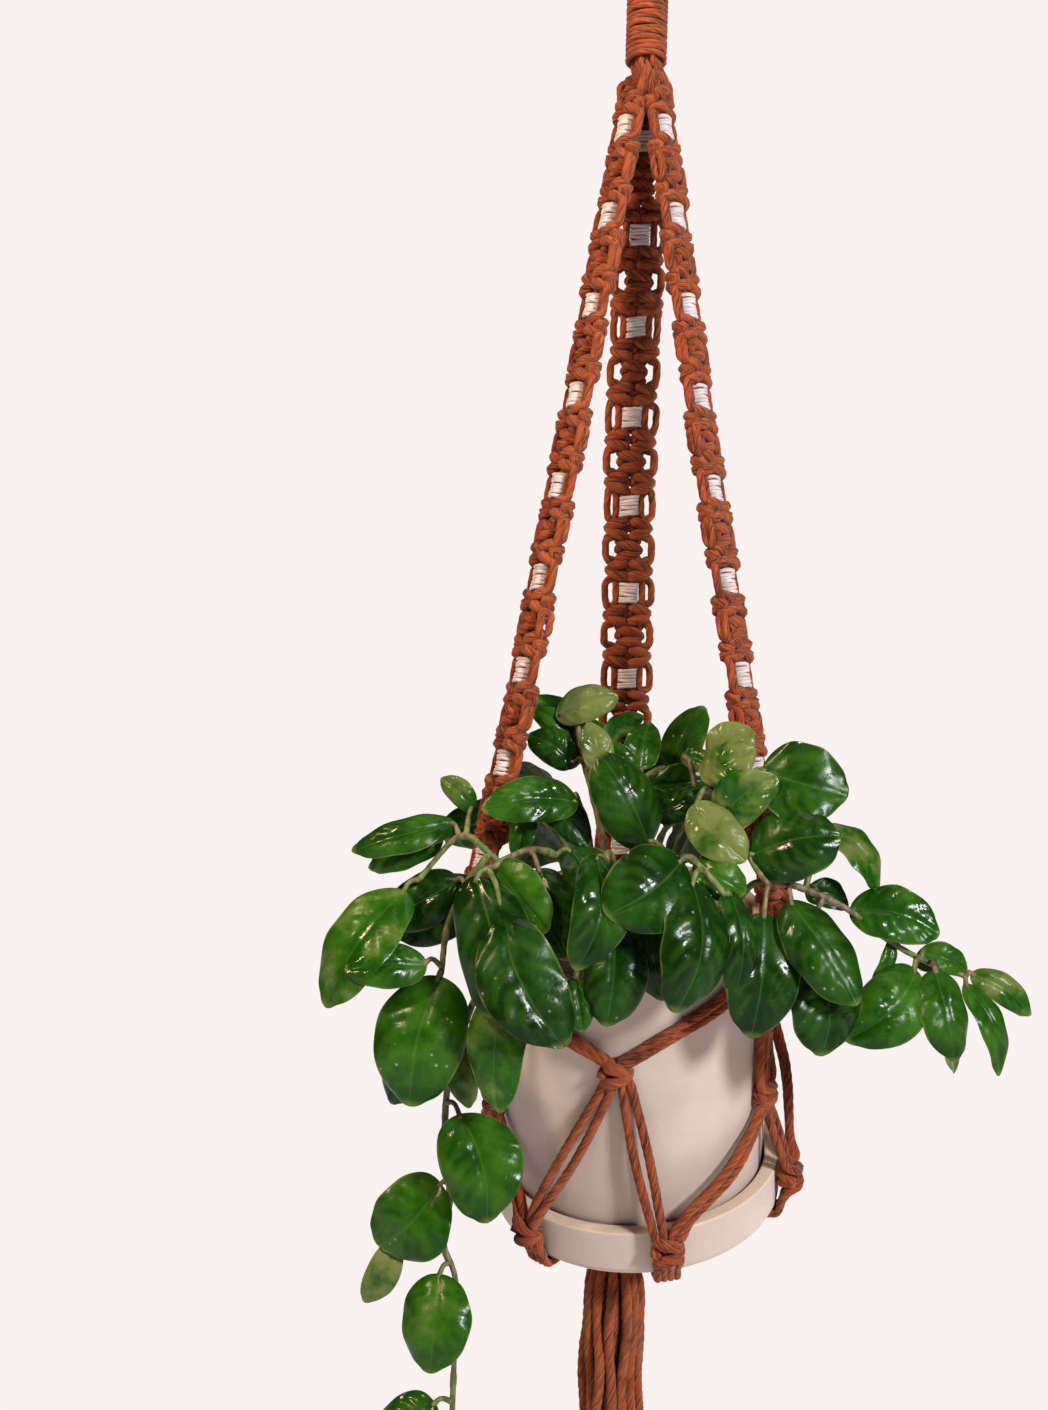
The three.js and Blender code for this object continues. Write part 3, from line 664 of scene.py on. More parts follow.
def wobble(strap, rng):
    """How a strap strays across and out from its straight line: a sag and a slow wander."""
    phase = rng.uniform(0, 2 * math.pi, 4)

    def at(along):
        t = min(max(along / STRAP_LENGTH, 0), 1)
        fade = math.sin(math.pi * t) ** 0.5
        sag = STRAP_SAG[strap] * min(1, (1 - t) / 0.25) ** 0.8
        across = 0.9 * math.sin(5.2 * t + phase[0]) + 0.5 * math.sin(13 * t + phase[1])
        out = 0.6 * math.sin(4.1 * t + phase[2]) + 0.4 * math.sin(11 * t + phase[3])
        return fade * across, sag + fade * out

    return at


# ---------- the net ----------
FOOT_CORDS = (-12.0, -8.2, -4.6, -1.6, 1.6, 4.6, 8.2, 12.0)  # across the foot of a strap
KNOT_CORNERS = (-6.3, -2.1, 2.1, 6.3)  # where a knot's four cords enter and leave it


def wall(height, clear):
    return pot_radius(height) + NET_CORD_RADIUS + 0.4 + clear


def leg(start, end, offset, steps):
    """Points between two places given as azimuth, radius, height, set off to the right halfway along."""
    (a0, r0, h0), (a1, r1, h1) = start, end
    middle_radius = (r0 + r1) / 2
    run, rise = math.radians(a1 - a0) * middle_radius, h1 - h0
    length = math.hypot(run, rise)
    points = []
    for t in steps:
        side = offset * math.sin(math.pi * t)
        radius = r0 + (r1 - r0) * t
        azimuth = a0 + (a1 - a0) * t + math.degrees(side * abs(rise) / length / middle_radius)
        height = h0 + rise * t + side * run * math.copysign(1, -rise) / length
        points.append((*in_pot(azimuth, max(radius, wall(height, 0)), height), NET_CORD_RADIUS))
    return points


def knot_in_net(knot, index, azimuth, radius, top):
    """A knot cord's control points, placed against the pot's wall with the knot's top at a height."""
    rows = []
    for u, w, v, r in knot[index]:
        rows.append((*in_pot(azimuth + math.degrees(u / radius), radius + w, top - v), r))
    return rows


UPPER_KNOT = dict(half_width=5.6, rise=3.1, height=12.5, halves=2, filler_gap=1.9)
LOWER_KNOT = dict(half_width=5.6, rise=3.6, height=15.0, halves=2, filler_gap=1.9)


def net_controls(strap, index, rng):
    """Control points in the object's frame of one cord of a strap, from its foot to the gather."""
    order = STRAPS_IN_ORDER.index(strap)
    under = 2 * order + 1
    if index < 2:
        upper, place = 2 * order, index + 2
    elif index < 6:
        upper, place = under, index - 2
    else:
        upper, place = (2 * order + 2) % 6, index - 6
    lower, low_place = 2 * order + (index > 3), index % 4
    azimuth, height, clear = UPPER_KNOTS[upper]
    foot = on_strap(strap, FOOT_CORDS[index], 0, STRAP_LENGTH + 3)
    foot_azimuth, foot_radius, foot_height = pot_coordinates(foot)
    azimuth = nearest_turn(azimuth, foot_azimuth)
    knot = square_knot(**UPPER_KNOT)
    top = height + UPPER_KNOT["height"] / 2
    radius = wall(height, clear) + 1.4
    apart = (-1, 1, -1, 1)[place] * rng.uniform(0.9, 1.6)
    corner = KNOT_CORNERS[place]
    points = [(*foot, 2.3)]
    if clear == 0 or index in (0, 1, 6, 7) and strap != "strap_back":
        rim_height = min(POT_TOP - 4, foot_height - 8)
        start = (foot_azimuth, wall(rim_height, 0) + 0.6, rim_height)
    else:
        start = (foot_azimuth, foot_radius - 1, foot_height - 6)
    at_knot = (azimuth + math.degrees(corner / radius), radius - 0.4, top + 2)
    points += leg(start, at_knot, apart, (0.12, 0.45, 0.8))
    points += knot_in_net(knot, place, azimuth, radius, top)
    low_azimuth = nearest_turn(LOWER_AZIMUTHS[lower], azimuth)
    low_knot = square_knot(**LOWER_KNOT)
    low_corner = KNOT_CORNERS[low_place]
    low_top = LOWER_HEIGHT + LOWER_KNOT["height"] / 2
    out = (azimuth + math.degrees(corner / radius), radius - 0.6, top - UPPER_KNOT["height"] - 1.5)
    into = (low_azimuth + math.degrees(low_corner / LOWER_RADIUS), LOWER_RADIUS - 0.8, low_top + 2)
    points += leg(out, into, apart, (0.1, 0.5, 0.9))
    points += knot_in_net(low_knot, low_place, low_azimuth, LOWER_RADIUS, low_top)
    return points + under_saucer(low_azimuth, low_place)


def under_saucer(azimuth, place):
    """From a lower knot round the saucer's bottom edge and into the gathering wrap."""
    across = KNOT_CORNERS[place] * 0.72
    r = 1.9
    edge = SAUCER_RADIUS + r + 0.5

    def at(radius, height, spread=1.0):
        return (*in_pot(azimuth + math.degrees(across * spread / radius), radius, height), r)

    points = [at(edge + 0.2, 5), at(edge - 0.7, 1.2), at(edge - 3.2, -1.6), at(SAUCER_RADIUS - 9, -r - 0.3)]
    points += [at(50, -r - 0.8, 0.9)]
    inward = in_pot(azimuth, 20, 0)[:2] - GATHER_CENTRE
    turn = math.atan2(inward[1], inward[0]) + (-0.34, -0.17, 0.17, 0.34)[place]
    deep = (6.6, 3.6, 3.6, 6.6)[place]
    turned_in = [(15, GATHER_TOP + 1.0, 2.0), (deep, GATHER_TOP - 2, 1.5), (deep, GATHER_TOP - 9, 1.45)]
    for radius, z, thick in turned_in:
        x = GATHER_CENTRE[0] + radius * math.cos(turn)
        y = GATHER_CENTRE[1] + radius * math.sin(turn)
        points.append((x, y, z, thick))
    return points


def make_straps_and_net():
    for strap in STRAPS_IN_ORDER:
        rng = np.random.default_rng(SEED + len(strap))
        drift = wobble(strap, rng)
        knotted, netted = Shape(), Shape()
        for index, controls in enumerate(strap_controls(rng)):
            world = []
            for u, w, v, r in controls:
                du, dw = drift(v)
                world.append((*on_strap(strap, u + du, w + dw, v), r))
            split = len(world)
            path_points = world + net_controls(strap, index, rng)
            path = smooth_path(path_points)
            last = np.array(path_points[split][:3])
            cut = int(np.argmin(np.linalg.norm(path[:, :3] - last, axis=1)))
            tone = rng.uniform(-1, 1)
            add_cord(knotted, path[: cut + 1], rng, tone=tone)
            add_cord(netted, path[cut:], rng, tone=tone)
        order = STRAPS_IN_ORDER.index(strap)
        nodes = [f"net_lower_knot_{2 * order + 1}", f"net_lower_knot_{2 * order + 2}"]
        nodes += [f"net_between_knot_{order + 1}", f"net_under_strap_knot_{order + 1}"]
        knotted.make(f"{strap}_cords", RUST, "hanger", "cotton_cord", [strap])
        netted.make(f"net_cords_{strap[6:]}", RUST, "hanger", "cotton_cord", nodes)
        make_bands(strap, drift, rng)


# ---------- wraps ----------
def coil(centre_of, half_width, half_depth, turns, pitch, radius, power=2.6, waist=0.0):
    """A thread wound round a rounded box: rows of x, y, z, radius.

    centre_of(across, out, along) places it.
    """
    steps = 26
    rows = []
    for i in range(int(turns * steps) + 1):
        a = 2 * math.pi * i / steps
        c, s = math.cos(a), math.sin(a)
        reach = (abs(c) ** power + abs(s) ** power) ** (-1 / power)
        along = pitch * (i / steps - turns / 2)
        pinch = 1 - waist * math.cos(math.pi * along / (pitch * turns)) ** 2
        slip = 0.16 * pitch * math.sin(1.7 * a) + 0.1 * pitch * math.sin(0.61 * a + 2)
        place = centre_of(c * reach * half_width * pinch, s * reach * half_depth * pinch, along + slip)
        rows.append((*place, radius))
    return np.array(rows)


def make_bands(strap, drift, rng):
    """The pale thread bound round the middle cords of a strap."""
    turns = 6.5
    for i in range(BAND_COUNT):
        middle = BAND_FIRST + i * BAND_PITCH
        du, dw = drift(middle)
        slant = rng.normal(0, 0.05)

        def place(across, out, along):
            return on_strap(strap, across + du, out + dw, middle + along + slant * across)

        pitch = (BAND_HEIGHT - 0.6) / turns * rng.uniform(0.95, 1.04)
        shape = Shape()
        path = coil(place, 4.6, 4.2, turns, pitch, THREAD_RADIUS, waist=0.1)
        add_cord(shape, path, rng, sides=8, relief=0.03)
        node = f"{strap}_thread_{i + 1}"
        shape.make(f"{node}_coil", PALE, "hanger", "pale_thread", [node])


def make_wrap(name, centre, top, bottom, radius, node, rng):
    """A cord wound in close turns round a bundle that hangs straight down."""
    thread = 1.35
    turns = math.floor((top - bottom - 2 * thread) / (2 * thread * 0.94))
    pitch = (top - bottom - 2 * thread) / turns
    middle = (top + bottom) / 2

    def place(across, out, along):
        return np.array([centre[0] + across, centre[1] + out, middle + along])

    path = coil(place, radius - thread, radius - thread, turns, pitch, thread, power=2.0)
    shape = Shape()
    add_cord(shape, path, rng, sides=12, relief=0.04, tone=0.4)
    shape.make(name, RUST, "hanger", "cotton_cord", [node])


def make_loops():
    """The cords folded over the ring's lowest stretch and led down inside the wrap."""
    rng = np.random.default_rng(SEED + 5)
    shape = Shape()
    ring_radius = RING_INNER + RING_SECTION
    # A lower and an upper layer of loops: how far each lies off the ring, and its places across.
    layers = [(2.25, np.linspace(-12.4, 12.4, 7)), (6.4, np.linspace(-9.4, 9.4, 5))]
    loops = sorted([(x, lift) for lift, places in layers for x in places])
    # The places of the cords' ends inside the wrap: the front half first, each half from left to right.
    inside = []
    for radius, count in ((6.6, 14), (3.2, 8), (0.9, 2)):
        for turn in np.linspace(0, 2 * math.pi, count, endpoint=False):
            inside.append((radius * math.cos(turn), radius * math.sin(turn)))
    inside.sort(key=lambda spot: (spot[1] > 0, spot[0]))
    half = len(loops)
    lowest = -84
    for i, (x, lift) in enumerate(loops):
        turn = math.asin(x / ring_radius)
        radial = np.array([math.sin(turn), 0.0, -math.cos(turn)])
        centre = np.array([0, 0, -RING_INNER]) + radial * ring_radius
        reach = RING_SECTION + 0.8 + lift
        rows = []
        for degrees in (-100, -60, -20, 20, 60, 100):
            angle = math.radians(degrees)
            place = centre - radial * reach * math.cos(angle) + np.array([0, reach * math.sin(angle), 0])
            rows.append((*place, 2.15))
        fx, fy = inside[i]
        bx, by = inside[half + i]
        front = [(fx, fy, lowest, 1.5), (fx, fy, WRAP_TOP - 2, 1.5)]
        front.append((0.8 * fx + 0.2 * x, fy - 2.2, WRAP_TOP + 5, 1.9))
        back = [(0.8 * bx + 0.2 * x, by + 2.2, WRAP_TOP + 5, 1.9)]
        back += [(bx, by, WRAP_TOP - 2, 1.5), (bx, by, lowest, 1.5)]
        add_cord(shape, smooth_path([*front, *rows, *back]), rng)
    shape.make("ring_loops", RUST, "hanger", "cotton_cord", ["cord_loops"])


def make_ring():
    shape = Shape()
    turns, sides = 160, 28
    around = np.linspace(0, 2 * np.pi, turns, endpoint=False)[:, None]
    section = np.linspace(0, 2 * np.pi, sides, endpoint=False)[None, :]
    radius = RING_INNER + RING_SECTION + RING_SECTION * np.cos(section) * 0.985
    x, z = radius * np.sin(around), -RING_INNER - radius * np.cos(around)
    y = np.broadcast_to(RING_SECTION * np.sin(section), x.shape)
    points = np.stack([x, y, z], axis=-1).reshape(-1, 3)
    shape.add(points, grid_faces(turns + 1, sides, True) % (turns * sides))
    shape.make("wooden_ring", WOOD, "ring", "ring_wood", ["hanging_ring"])


# ---------- tassel ----------
TASSEL_RINGS = ((3.2, 3), (8.0, 8), (13.3, 13))  # radius and strands of each ring
WAVE_LENGTH = 74.0
DEPTH_WAVE_LENGTH = 61
WAVE_TURN = 6.28  # radians in one wave


def make_tassel():
    rng = np.random.default_rng(SEED + 9)
    nodes = [f"tassel_strands_{i + 1}" for i in range(6)]
    number = 0
    for ring, count in TASSEL_RINGS:
        for k in range(count):
            number += 1
            turn = 2 * math.pi * (k + 0.5 * (ring > 10)) / count + rng.normal(0, 0.05)
            path = strand_path(ring, turn, rng)
            shape = Shape()
            add_cord(shape, path, rng, relief=0.075, spread=0.02)
            name = f"tassel_strand_{number:02d}"
            piece = shape.make(name, RUST, "tassel", "cotton_cord", nodes if number == 1 else ())


def strand_path(ring, turn, rng):
    """One hanging strand, squeezed where it leaves the wrap, then wavy from having been knotted."""
    end = TASSEL_BOTTOM + rng.uniform(-2, 12)
    phase = rng.uniform(0, 2 * math.pi, 2)
    swell = rng.uniform(0.7, 1.5)
    rows = []
    for z in [-706.0, -711.0, -718.0, *np.arange(-728.0, end + 8, -9.0), end]:
        open_up = min(max((-707.0 - z) / 16, 0), 1) ** 0.6
        radius = ring * (0.5 + 0.5 * open_up)
        fade = min(max((-712.0 - z) / 40, 0), 1)
        sideways = math.sin(z / WAVE_LENGTH * WAVE_TURN + phase[0])
        forwards = math.cos(z / DEPTH_WAVE_LENGTH * WAVE_TURN + phase[1])
        x = GATHER_CENTRE[0] + radius * math.cos(turn) + fade * swell * sideways
        y = GATHER_CENTRE[1] + radius * math.sin(turn) + fade * swell * forwards
        rows.append((x, y, z, 1.5 + (CORD_RADIUS - 0.15 - 1.5) * open_up))
    return smooth_path(rows)


# ---------- pot, saucer and soil ----------
def rounded(outline, radius, steps=5):
    """An outline with its corners rounded off, where the neighbouring edges leave room."""
    rows = [outline[0]]
    for before, corner, after in zip(outline, outline[1:], outline[2:]):
        a, b, c = (np.array(p, float) for p in (before, corner, after))
        room = min(radius, 0.45 * np.linalg.norm(a - b), 0.45 * np.linalg.norm(c - b))
        start, end = b + room * unit(a - b), b + room * unit(c - b)
        for t in np.linspace(0, 1, steps):
            rows.append(tuple((1 - t) ** 2 * start + 2 * t * (1 - t) * b + t**2 * end))
    return [*rows, outline[-1]]


def refined(outline, longest=4.0):
    rows = [outline[0]]
    for a, b in zip(outline, outline[1:]):
        parts = max(1, math.ceil(math.dist(a, b) / longest))
        rows += [tuple(np.array(a) + (np.array(b) - np.array(a)) * k / parts) for k in range(1, parts + 1)]
    return rows


def turned(outline, segments, rng, waver=0.12):
    """A body of revolution round the pot's axis, a little out of true as thrown clay is."""
    outline = np.array(outline)
    angle = np.linspace(0, 2 * np.pi, segments, endpoint=False)[None, :]
    phase = rng.uniform(0, 6, 3)
    r, h = outline[:, :1], outline[:, 1:]
    off = waver * (np.sin(2 * angle + phase[0]) + 0.6 * np.sin(3 * angle + h / 21 + phase[1]))
    off = off + 0.3 * waver * np.sin(h / 1.9 + phase[2]) * (r > 10)
    radius = r + off * np.minimum(r / 40, 1)
    height = np.broadcast_to(h, radius.shape)
    local = np.stack([radius * np.sin(angle), -radius * np.cos(angle), height], axis=-1)
    return local.reshape(-1, 3) @ POT_AXES.T + SAUCER_BOTTOM


def make_turned(name, outline, material, body, slot, node, bare_of, rng, segments=192, closed=True):
    points = turned(outline, segments, rng)
    rows = len(outline)
    shape = Shape()
    bare = np.repeat([bare_of(height) for _, height in outline], segments)
    if closed:
        faces = grid_faces(rows + 1, segments, True) % (rows * segments)
    else:
        faces = [*grid_faces(rows, segments, True), np.arange(segments)[::-1]]
        faces.append(np.arange(segments) + (rows - 1) * segments)
    shape.add(points, faces, bare=bare)
    shape.make(name, material, body, slot, [node])


def make_pot():
    rng = np.random.default_rng(SEED + 2)
    inside = [(r - POT_WALL, h) for r, h in POT_OUTLINE[:1:-1]]
    floor = POT_BOTTOM + POT_FLOOR
    outline = [(POT_DRAIN, POT_BOTTOM), *map(tuple, POT_OUTLINE), *inside]
    outline += [(POT_OUTLINE[1][0] - POT_WALL - 1, floor), (POT_DRAIN, floor)]
    outline = refined(rounded([*outline, outline[0]], 1.9))[:-1]

    def bare(height):
        return 0.75 * (height > POT_TOP - 0.9)

    make_turned("pot_body", outline, POT_CLAY, "pot", "stoneware", "pot", bare, rng)


def make_saucer():
    rng = np.random.default_rng(SEED + 3)
    outside, inner = SAUCER_RADIUS, SAUCER_RIM_INNER
    outline = [(0.4, 0), (outside - 3.4, 0), (outside - 1.6, 2.0), (outside - 1.5, 3.2), (outside - 0.4, 3.9)]
    outline += [(outside, SAUCER_HEIGHT), (inner, SAUCER_HEIGHT), (inner - 0.5, SAUCER_FLOOR + 2.4)]
    outline += [(inner - 3, SAUCER_FLOOR), (0.4, SAUCER_FLOOR)]
    outline = refined(rounded(outline, 1.1))

    def bare(height):
        return 0.9 * (height > SAUCER_HEIGHT - 0.7)

    make_turned("saucer_dish", outline, SAUCER_CLAY, "saucer", "stoneware", "saucer", bare, rng, closed=False)


def make_soil():
    """Potting soil with a crumbled top."""
    rng = np.random.default_rng(SEED + 4)
    inset = POT_WALL + 0.6
    low = POT_BOTTOM + POT_FLOOR + 0.4
    outline = [(0.4, low), (POT_OUTLINE[1][0] - inset - 1, low), (POT_OUTLINE[2][0] - inset, 40)]
    outline += [(POT_OUTLINE[3][0] - inset, 85), (pot_radius(SOIL_TOP) - inset, SOIL_TOP - 1)]
    edge = outline[-1][0]
    outline += [(r, SOIL_TOP) for r in np.linspace(edge - 1.2, 0.4, 44)]
    segments = 160
    points = turned(refined(outline, 6.0), segments, rng, 0.0)
    rows = len(points) // segments
    top = np.arange(rows) >= rows - 44
    lumps = sum(
        a * np.sin(points @ rng.normal(0, k, 3) + rng.uniform(0, 6))
        for a, k in ((1.0, 0.12), (0.8, 0.25), (0.5, 0.5), (0.4, 0.9), (0.3, 1.5))
    )
    points = points + np.repeat(top, segments)[:, None] * lumps[:, None] * POT_AXES[:, 2] * 0.7
    shape = Shape()
    ends = [np.arange(segments)[::-1], np.arange(segments) + (rows - 1) * segments]
    shape.add(points, [*grid_faces(rows, segments, True), *ends])
    shape.make("soil_surface", SOIL, "pot", "potting_soil", ["soil"])


# ---------- the plant ----------
# Each leaf: where it leaves its stalk, its tip, its width, and its age from 0, old and dark, to 1, fresh.
CROWN_LEAVES = [
    ((7, -60, -498), (-17, -62, -456), 29, 0.35),
    ((-15, -30, -467), (-21, -28, -442), 14, 0.95),
    ((-36, -10, -440), (-6, -12, -429), 17, 0.95),
    ((-26, -5, -449), (-47, -5, -436), 9, 0.6),
    ((7, 5, -465), (11, 5, -441), 17, 0.75),
    ((-13, 10, -451), (9, 14, -438), 13, 0.85),
    ((-26, -60, -479), (-70, -72, -483), 20, 0.5),
    ((-27, -20, -463), (-50, -18, -449), 17, 0.45),
    ((-50, -52, -480), (-54, -58, -507), 12, 0.6),
    ((-72, -95, -511), (-62, -110, -570), 31, 0.2),
    ((-64, -88, -506), (-39, -100, -534), 23, 0.6),
    ((-60, -105, -528), (-31, -118, -580), 33, 0.1),
    ((-19, -100, -500), (-27, -114, -548), 23, 0.3),
    ((18, -104, -501), (-15, -116, -524), 35, 0.25),
    ((22, -108, -509), (15, -124, -563), 32, 0.15),
    ((-10, -98, -532), (-13, -106, -573), 27, 0.05),
    ((-50, -95, -552), (-58, -99, -613), 25, 0.75),
    ((40, -95, -514), (42, -105, -560), 18, 0.2),
    ((56, -92, -524), (50, -102, -577), 30, 0.1),
    ((50, -84, -500), (89, -92, -489), 32, 0.3),
    ((56, -72, -462), (94, -80, -472), 34, 0.4),
    ((30, -60, -466), (54, -66, -452), 19, 0.95),
    ((23, -40, -456), (40, -50, -464), 10, 0.8),
    ((37, -72, -488), (62, -80, -464), 21, 0.9),
    ((25, -76, -478), (48, -86, -502), 21, 1.0),
    ((10, -20, -472), (45, -16, -466), 18, 0.4),
    ((74, -5, -487), (103, -5, -478), 12, 0.5),
    ((-50, 12, -488), (-94, 16, -500), 26, 0.2),
    ((-30, 28, -490), (-62, 48, -468), 24, 0.4),
    ((-26, 44, -500), (-52, 84, -522), 28, 0.15),
    ((-5, 30, -472), (-26, 40, -440), 20, 0.6),
    ((10, 34, -480), (32, 46, -452), 18, 0.5),
    ((28, 42, -498), (54, 80, -516), 28, 0.2),
    ((34, 26, -480), (66, 42, -460), 24, 0.35),
    ((42, 16, -492), (90, 28, -492), 29, 0.2),
    ((-22, 10, -462), (-50, 8, -430), 20, 0.7),
    ((24, 12, -468), (40, 20, -432), 19, 0.6),
    ((-22, -8, -459), (-46, -14, -453), 17, 0.35),
    ((-43, -45, -480), (-20, -54, -500), 15, 0.1),
    ((-27, -98, -553), (-23, -104, -576), 12, 0.4),
    ((8, -48, -485), (34, -52, -471), 14, 0.15),
    ((36, -52, -460), (54, -56, -443), 20, 1.0),
    ((-12, -18, -453), (5, -20, -465), 12, 0.5),
    ((3, -88, -520), (12, -96, -563), 19, 0.1),
    ((-44, -84, -508), (-29, -98, -546), 25, 0.2),
    ((26, -82, -503), (48, -88, -516), 19, 0.7),
    ((-30, -68, -500), (-12, -82, -528), 22, 0.15),
]
LEFT_LEAVES = [
    ((-82, -62, -490), (-129, -66, -504), 17, 0.45),
    ((-74, -56, -484), (-90, -52, -470), 11, 0.9),
    ((-88, -54, -496), (-123, -48, -513), 18, 0.55),
    ((-104, -70, -521), (-137, -80, -573), 30, 0.75),
    ((-92, -85, -552), (-128, -90, -554), 19, 0.55),
    ((-80, -62, -516), (-114, -54, -537), 23, 0.1),
    ((-87, -77, -558), (-98, -88, -614), 38, 0.6),
    ((-91, -78, -590), (-107, -76, -616), 18, 0.2),
    ((-70, -58, -519), (-110, -56, -543), 26, 0.1),
]
RIGHT_LEAVES = [
    ((86, -64, -487), (112, -66, -515), 20, 0.85),
    ((66, -95, -518), (94, -110, -560), 27, 0.35),
    ((76, -86, -543), (82, -97, -585), 32, 0.05),
    ((98, -70, -524), (138, -75, -533), 24, 0.6),
    ((128, -76, -550), (94, -86, -580), 28, 0.6),
    ((132, -66, -542), (154, -64, -551), 12, 0.7),
    ((136, -76, -549), (143, -87, -588), 22, 0.45),
    ((137, -63, -567), (149, -64, -598), 18, 1.0),
    ((151, -70, -556), (166, -76, -596), 14, 0.6),
    ((155, -66, -552), (183, -66, -570), 13, 0.85),
    ((131, -60, -549), (152, -58, -544), 12, 0.95),
    ((118, -70, -537), (108, -74, -557), 8, 0.8),
    ((80, -58, -518), (101, -54, -524), 13, 0.1),
]
VINE_LEAVES = [
    ((-75, -66, -586), (-72, -72, -618), 15, 0.85),
    ((-76, -75, -620), (-62, -86, -665), 34, 0.55),
    ((-84, -64, -655), (-112, -60, -685), 34, 0.6),
    ((-104, -58, -683), (-118, -55, -713), 14, 0.95),
    ((-84, -66, -695), (-86, -76, -736), 30, 0.65),
    ((-84, -60, -756), (-110, -60, -780), 28, 0.6),
    ((-76, -58, -782), (-64, -64, -812), 20, 0.7),
]
LEFT_STEM = [(-36, -52, -545), (-50, -62, -520), (-66, -70, -503), (-80, -66, -496), (-98, -66, -516)]
LEFT_BRANCH = [(-66, -70, -503), (-76, -68, -518), (-84, -70, -536), (-86, -74, -556)]
RIGHT_STEM = [(44, -50, -536), (56, -74, -512), (90, -74, -520), (124, -70, -542), (152, -67, -553)]
VINE_STEM = [
    (-42, -56, -550), (-56, -78, -542), (-76, -72, -582), (-83, -62, -620), (-80, -62, -660),
    (-82, -60, -684), (-76, -60, -702), (-76, -60, -750), (-76, -58, -784),
]
# The crown's own stems: each rises from the soil and arches outwards.
CROWN_STEMS = [
    [(-14, -30, -551), (-28, -56, -512), (-46, -78, -500), (-66, -92, -508)],
    [(-4, -34, -553), (-8, -64, -512), (-14, -90, -500), (-12, -100, -520)],
    [(8, -34, -551), (20, -66, -508), (24, -96, -502), (38, -98, -516)],
    [(16, -26, -547), (32, -58, -504), (44, -78, -494), (58, -88, -512)],
    [(6, -18, -549), (22, -44, -490), (36, -58, -472), (52, -68, -464)],
    [(-10, -16, -551), (-20, -38, -496), (-26, -48, -478)],
    [(-4, -10, -548), (-14, -16, -490), (-22, -14, -462), (-26, -10, -442)],
    [(4, -6, -546), (6, -2, -500), (8, 4, -470)],
    [(12, 4, -542), (28, 10, -505), (40, 14, -488), (62, 0, -484)],
    [(-14, 4, -545), (-28, 14, -508), (-44, 14, -488)],
    [(-10, 12, -542), (-18, 26, -505), (-26, 38, -494)],
    [(10, 14, -540), (20, 28, -502), (28, 38, -492)],
]
LEAF_ROWS, LEAF_COLUMNS = 46, 23
LEAF_FULLNESS = 1.12  # a leaf is this many times as wide as its row in the lists says


def leaf_half_width(t):
    """Of a leaf of width 2, from its base at 0 to its blunt tip at 1."""
    s = t**0.88
    return (4 * s * np.clip(1 - s, 0, 1)) ** 0.57 * (1 - 0.16 * np.exp(-(((t - 0.95) / 0.04) ** 2)))


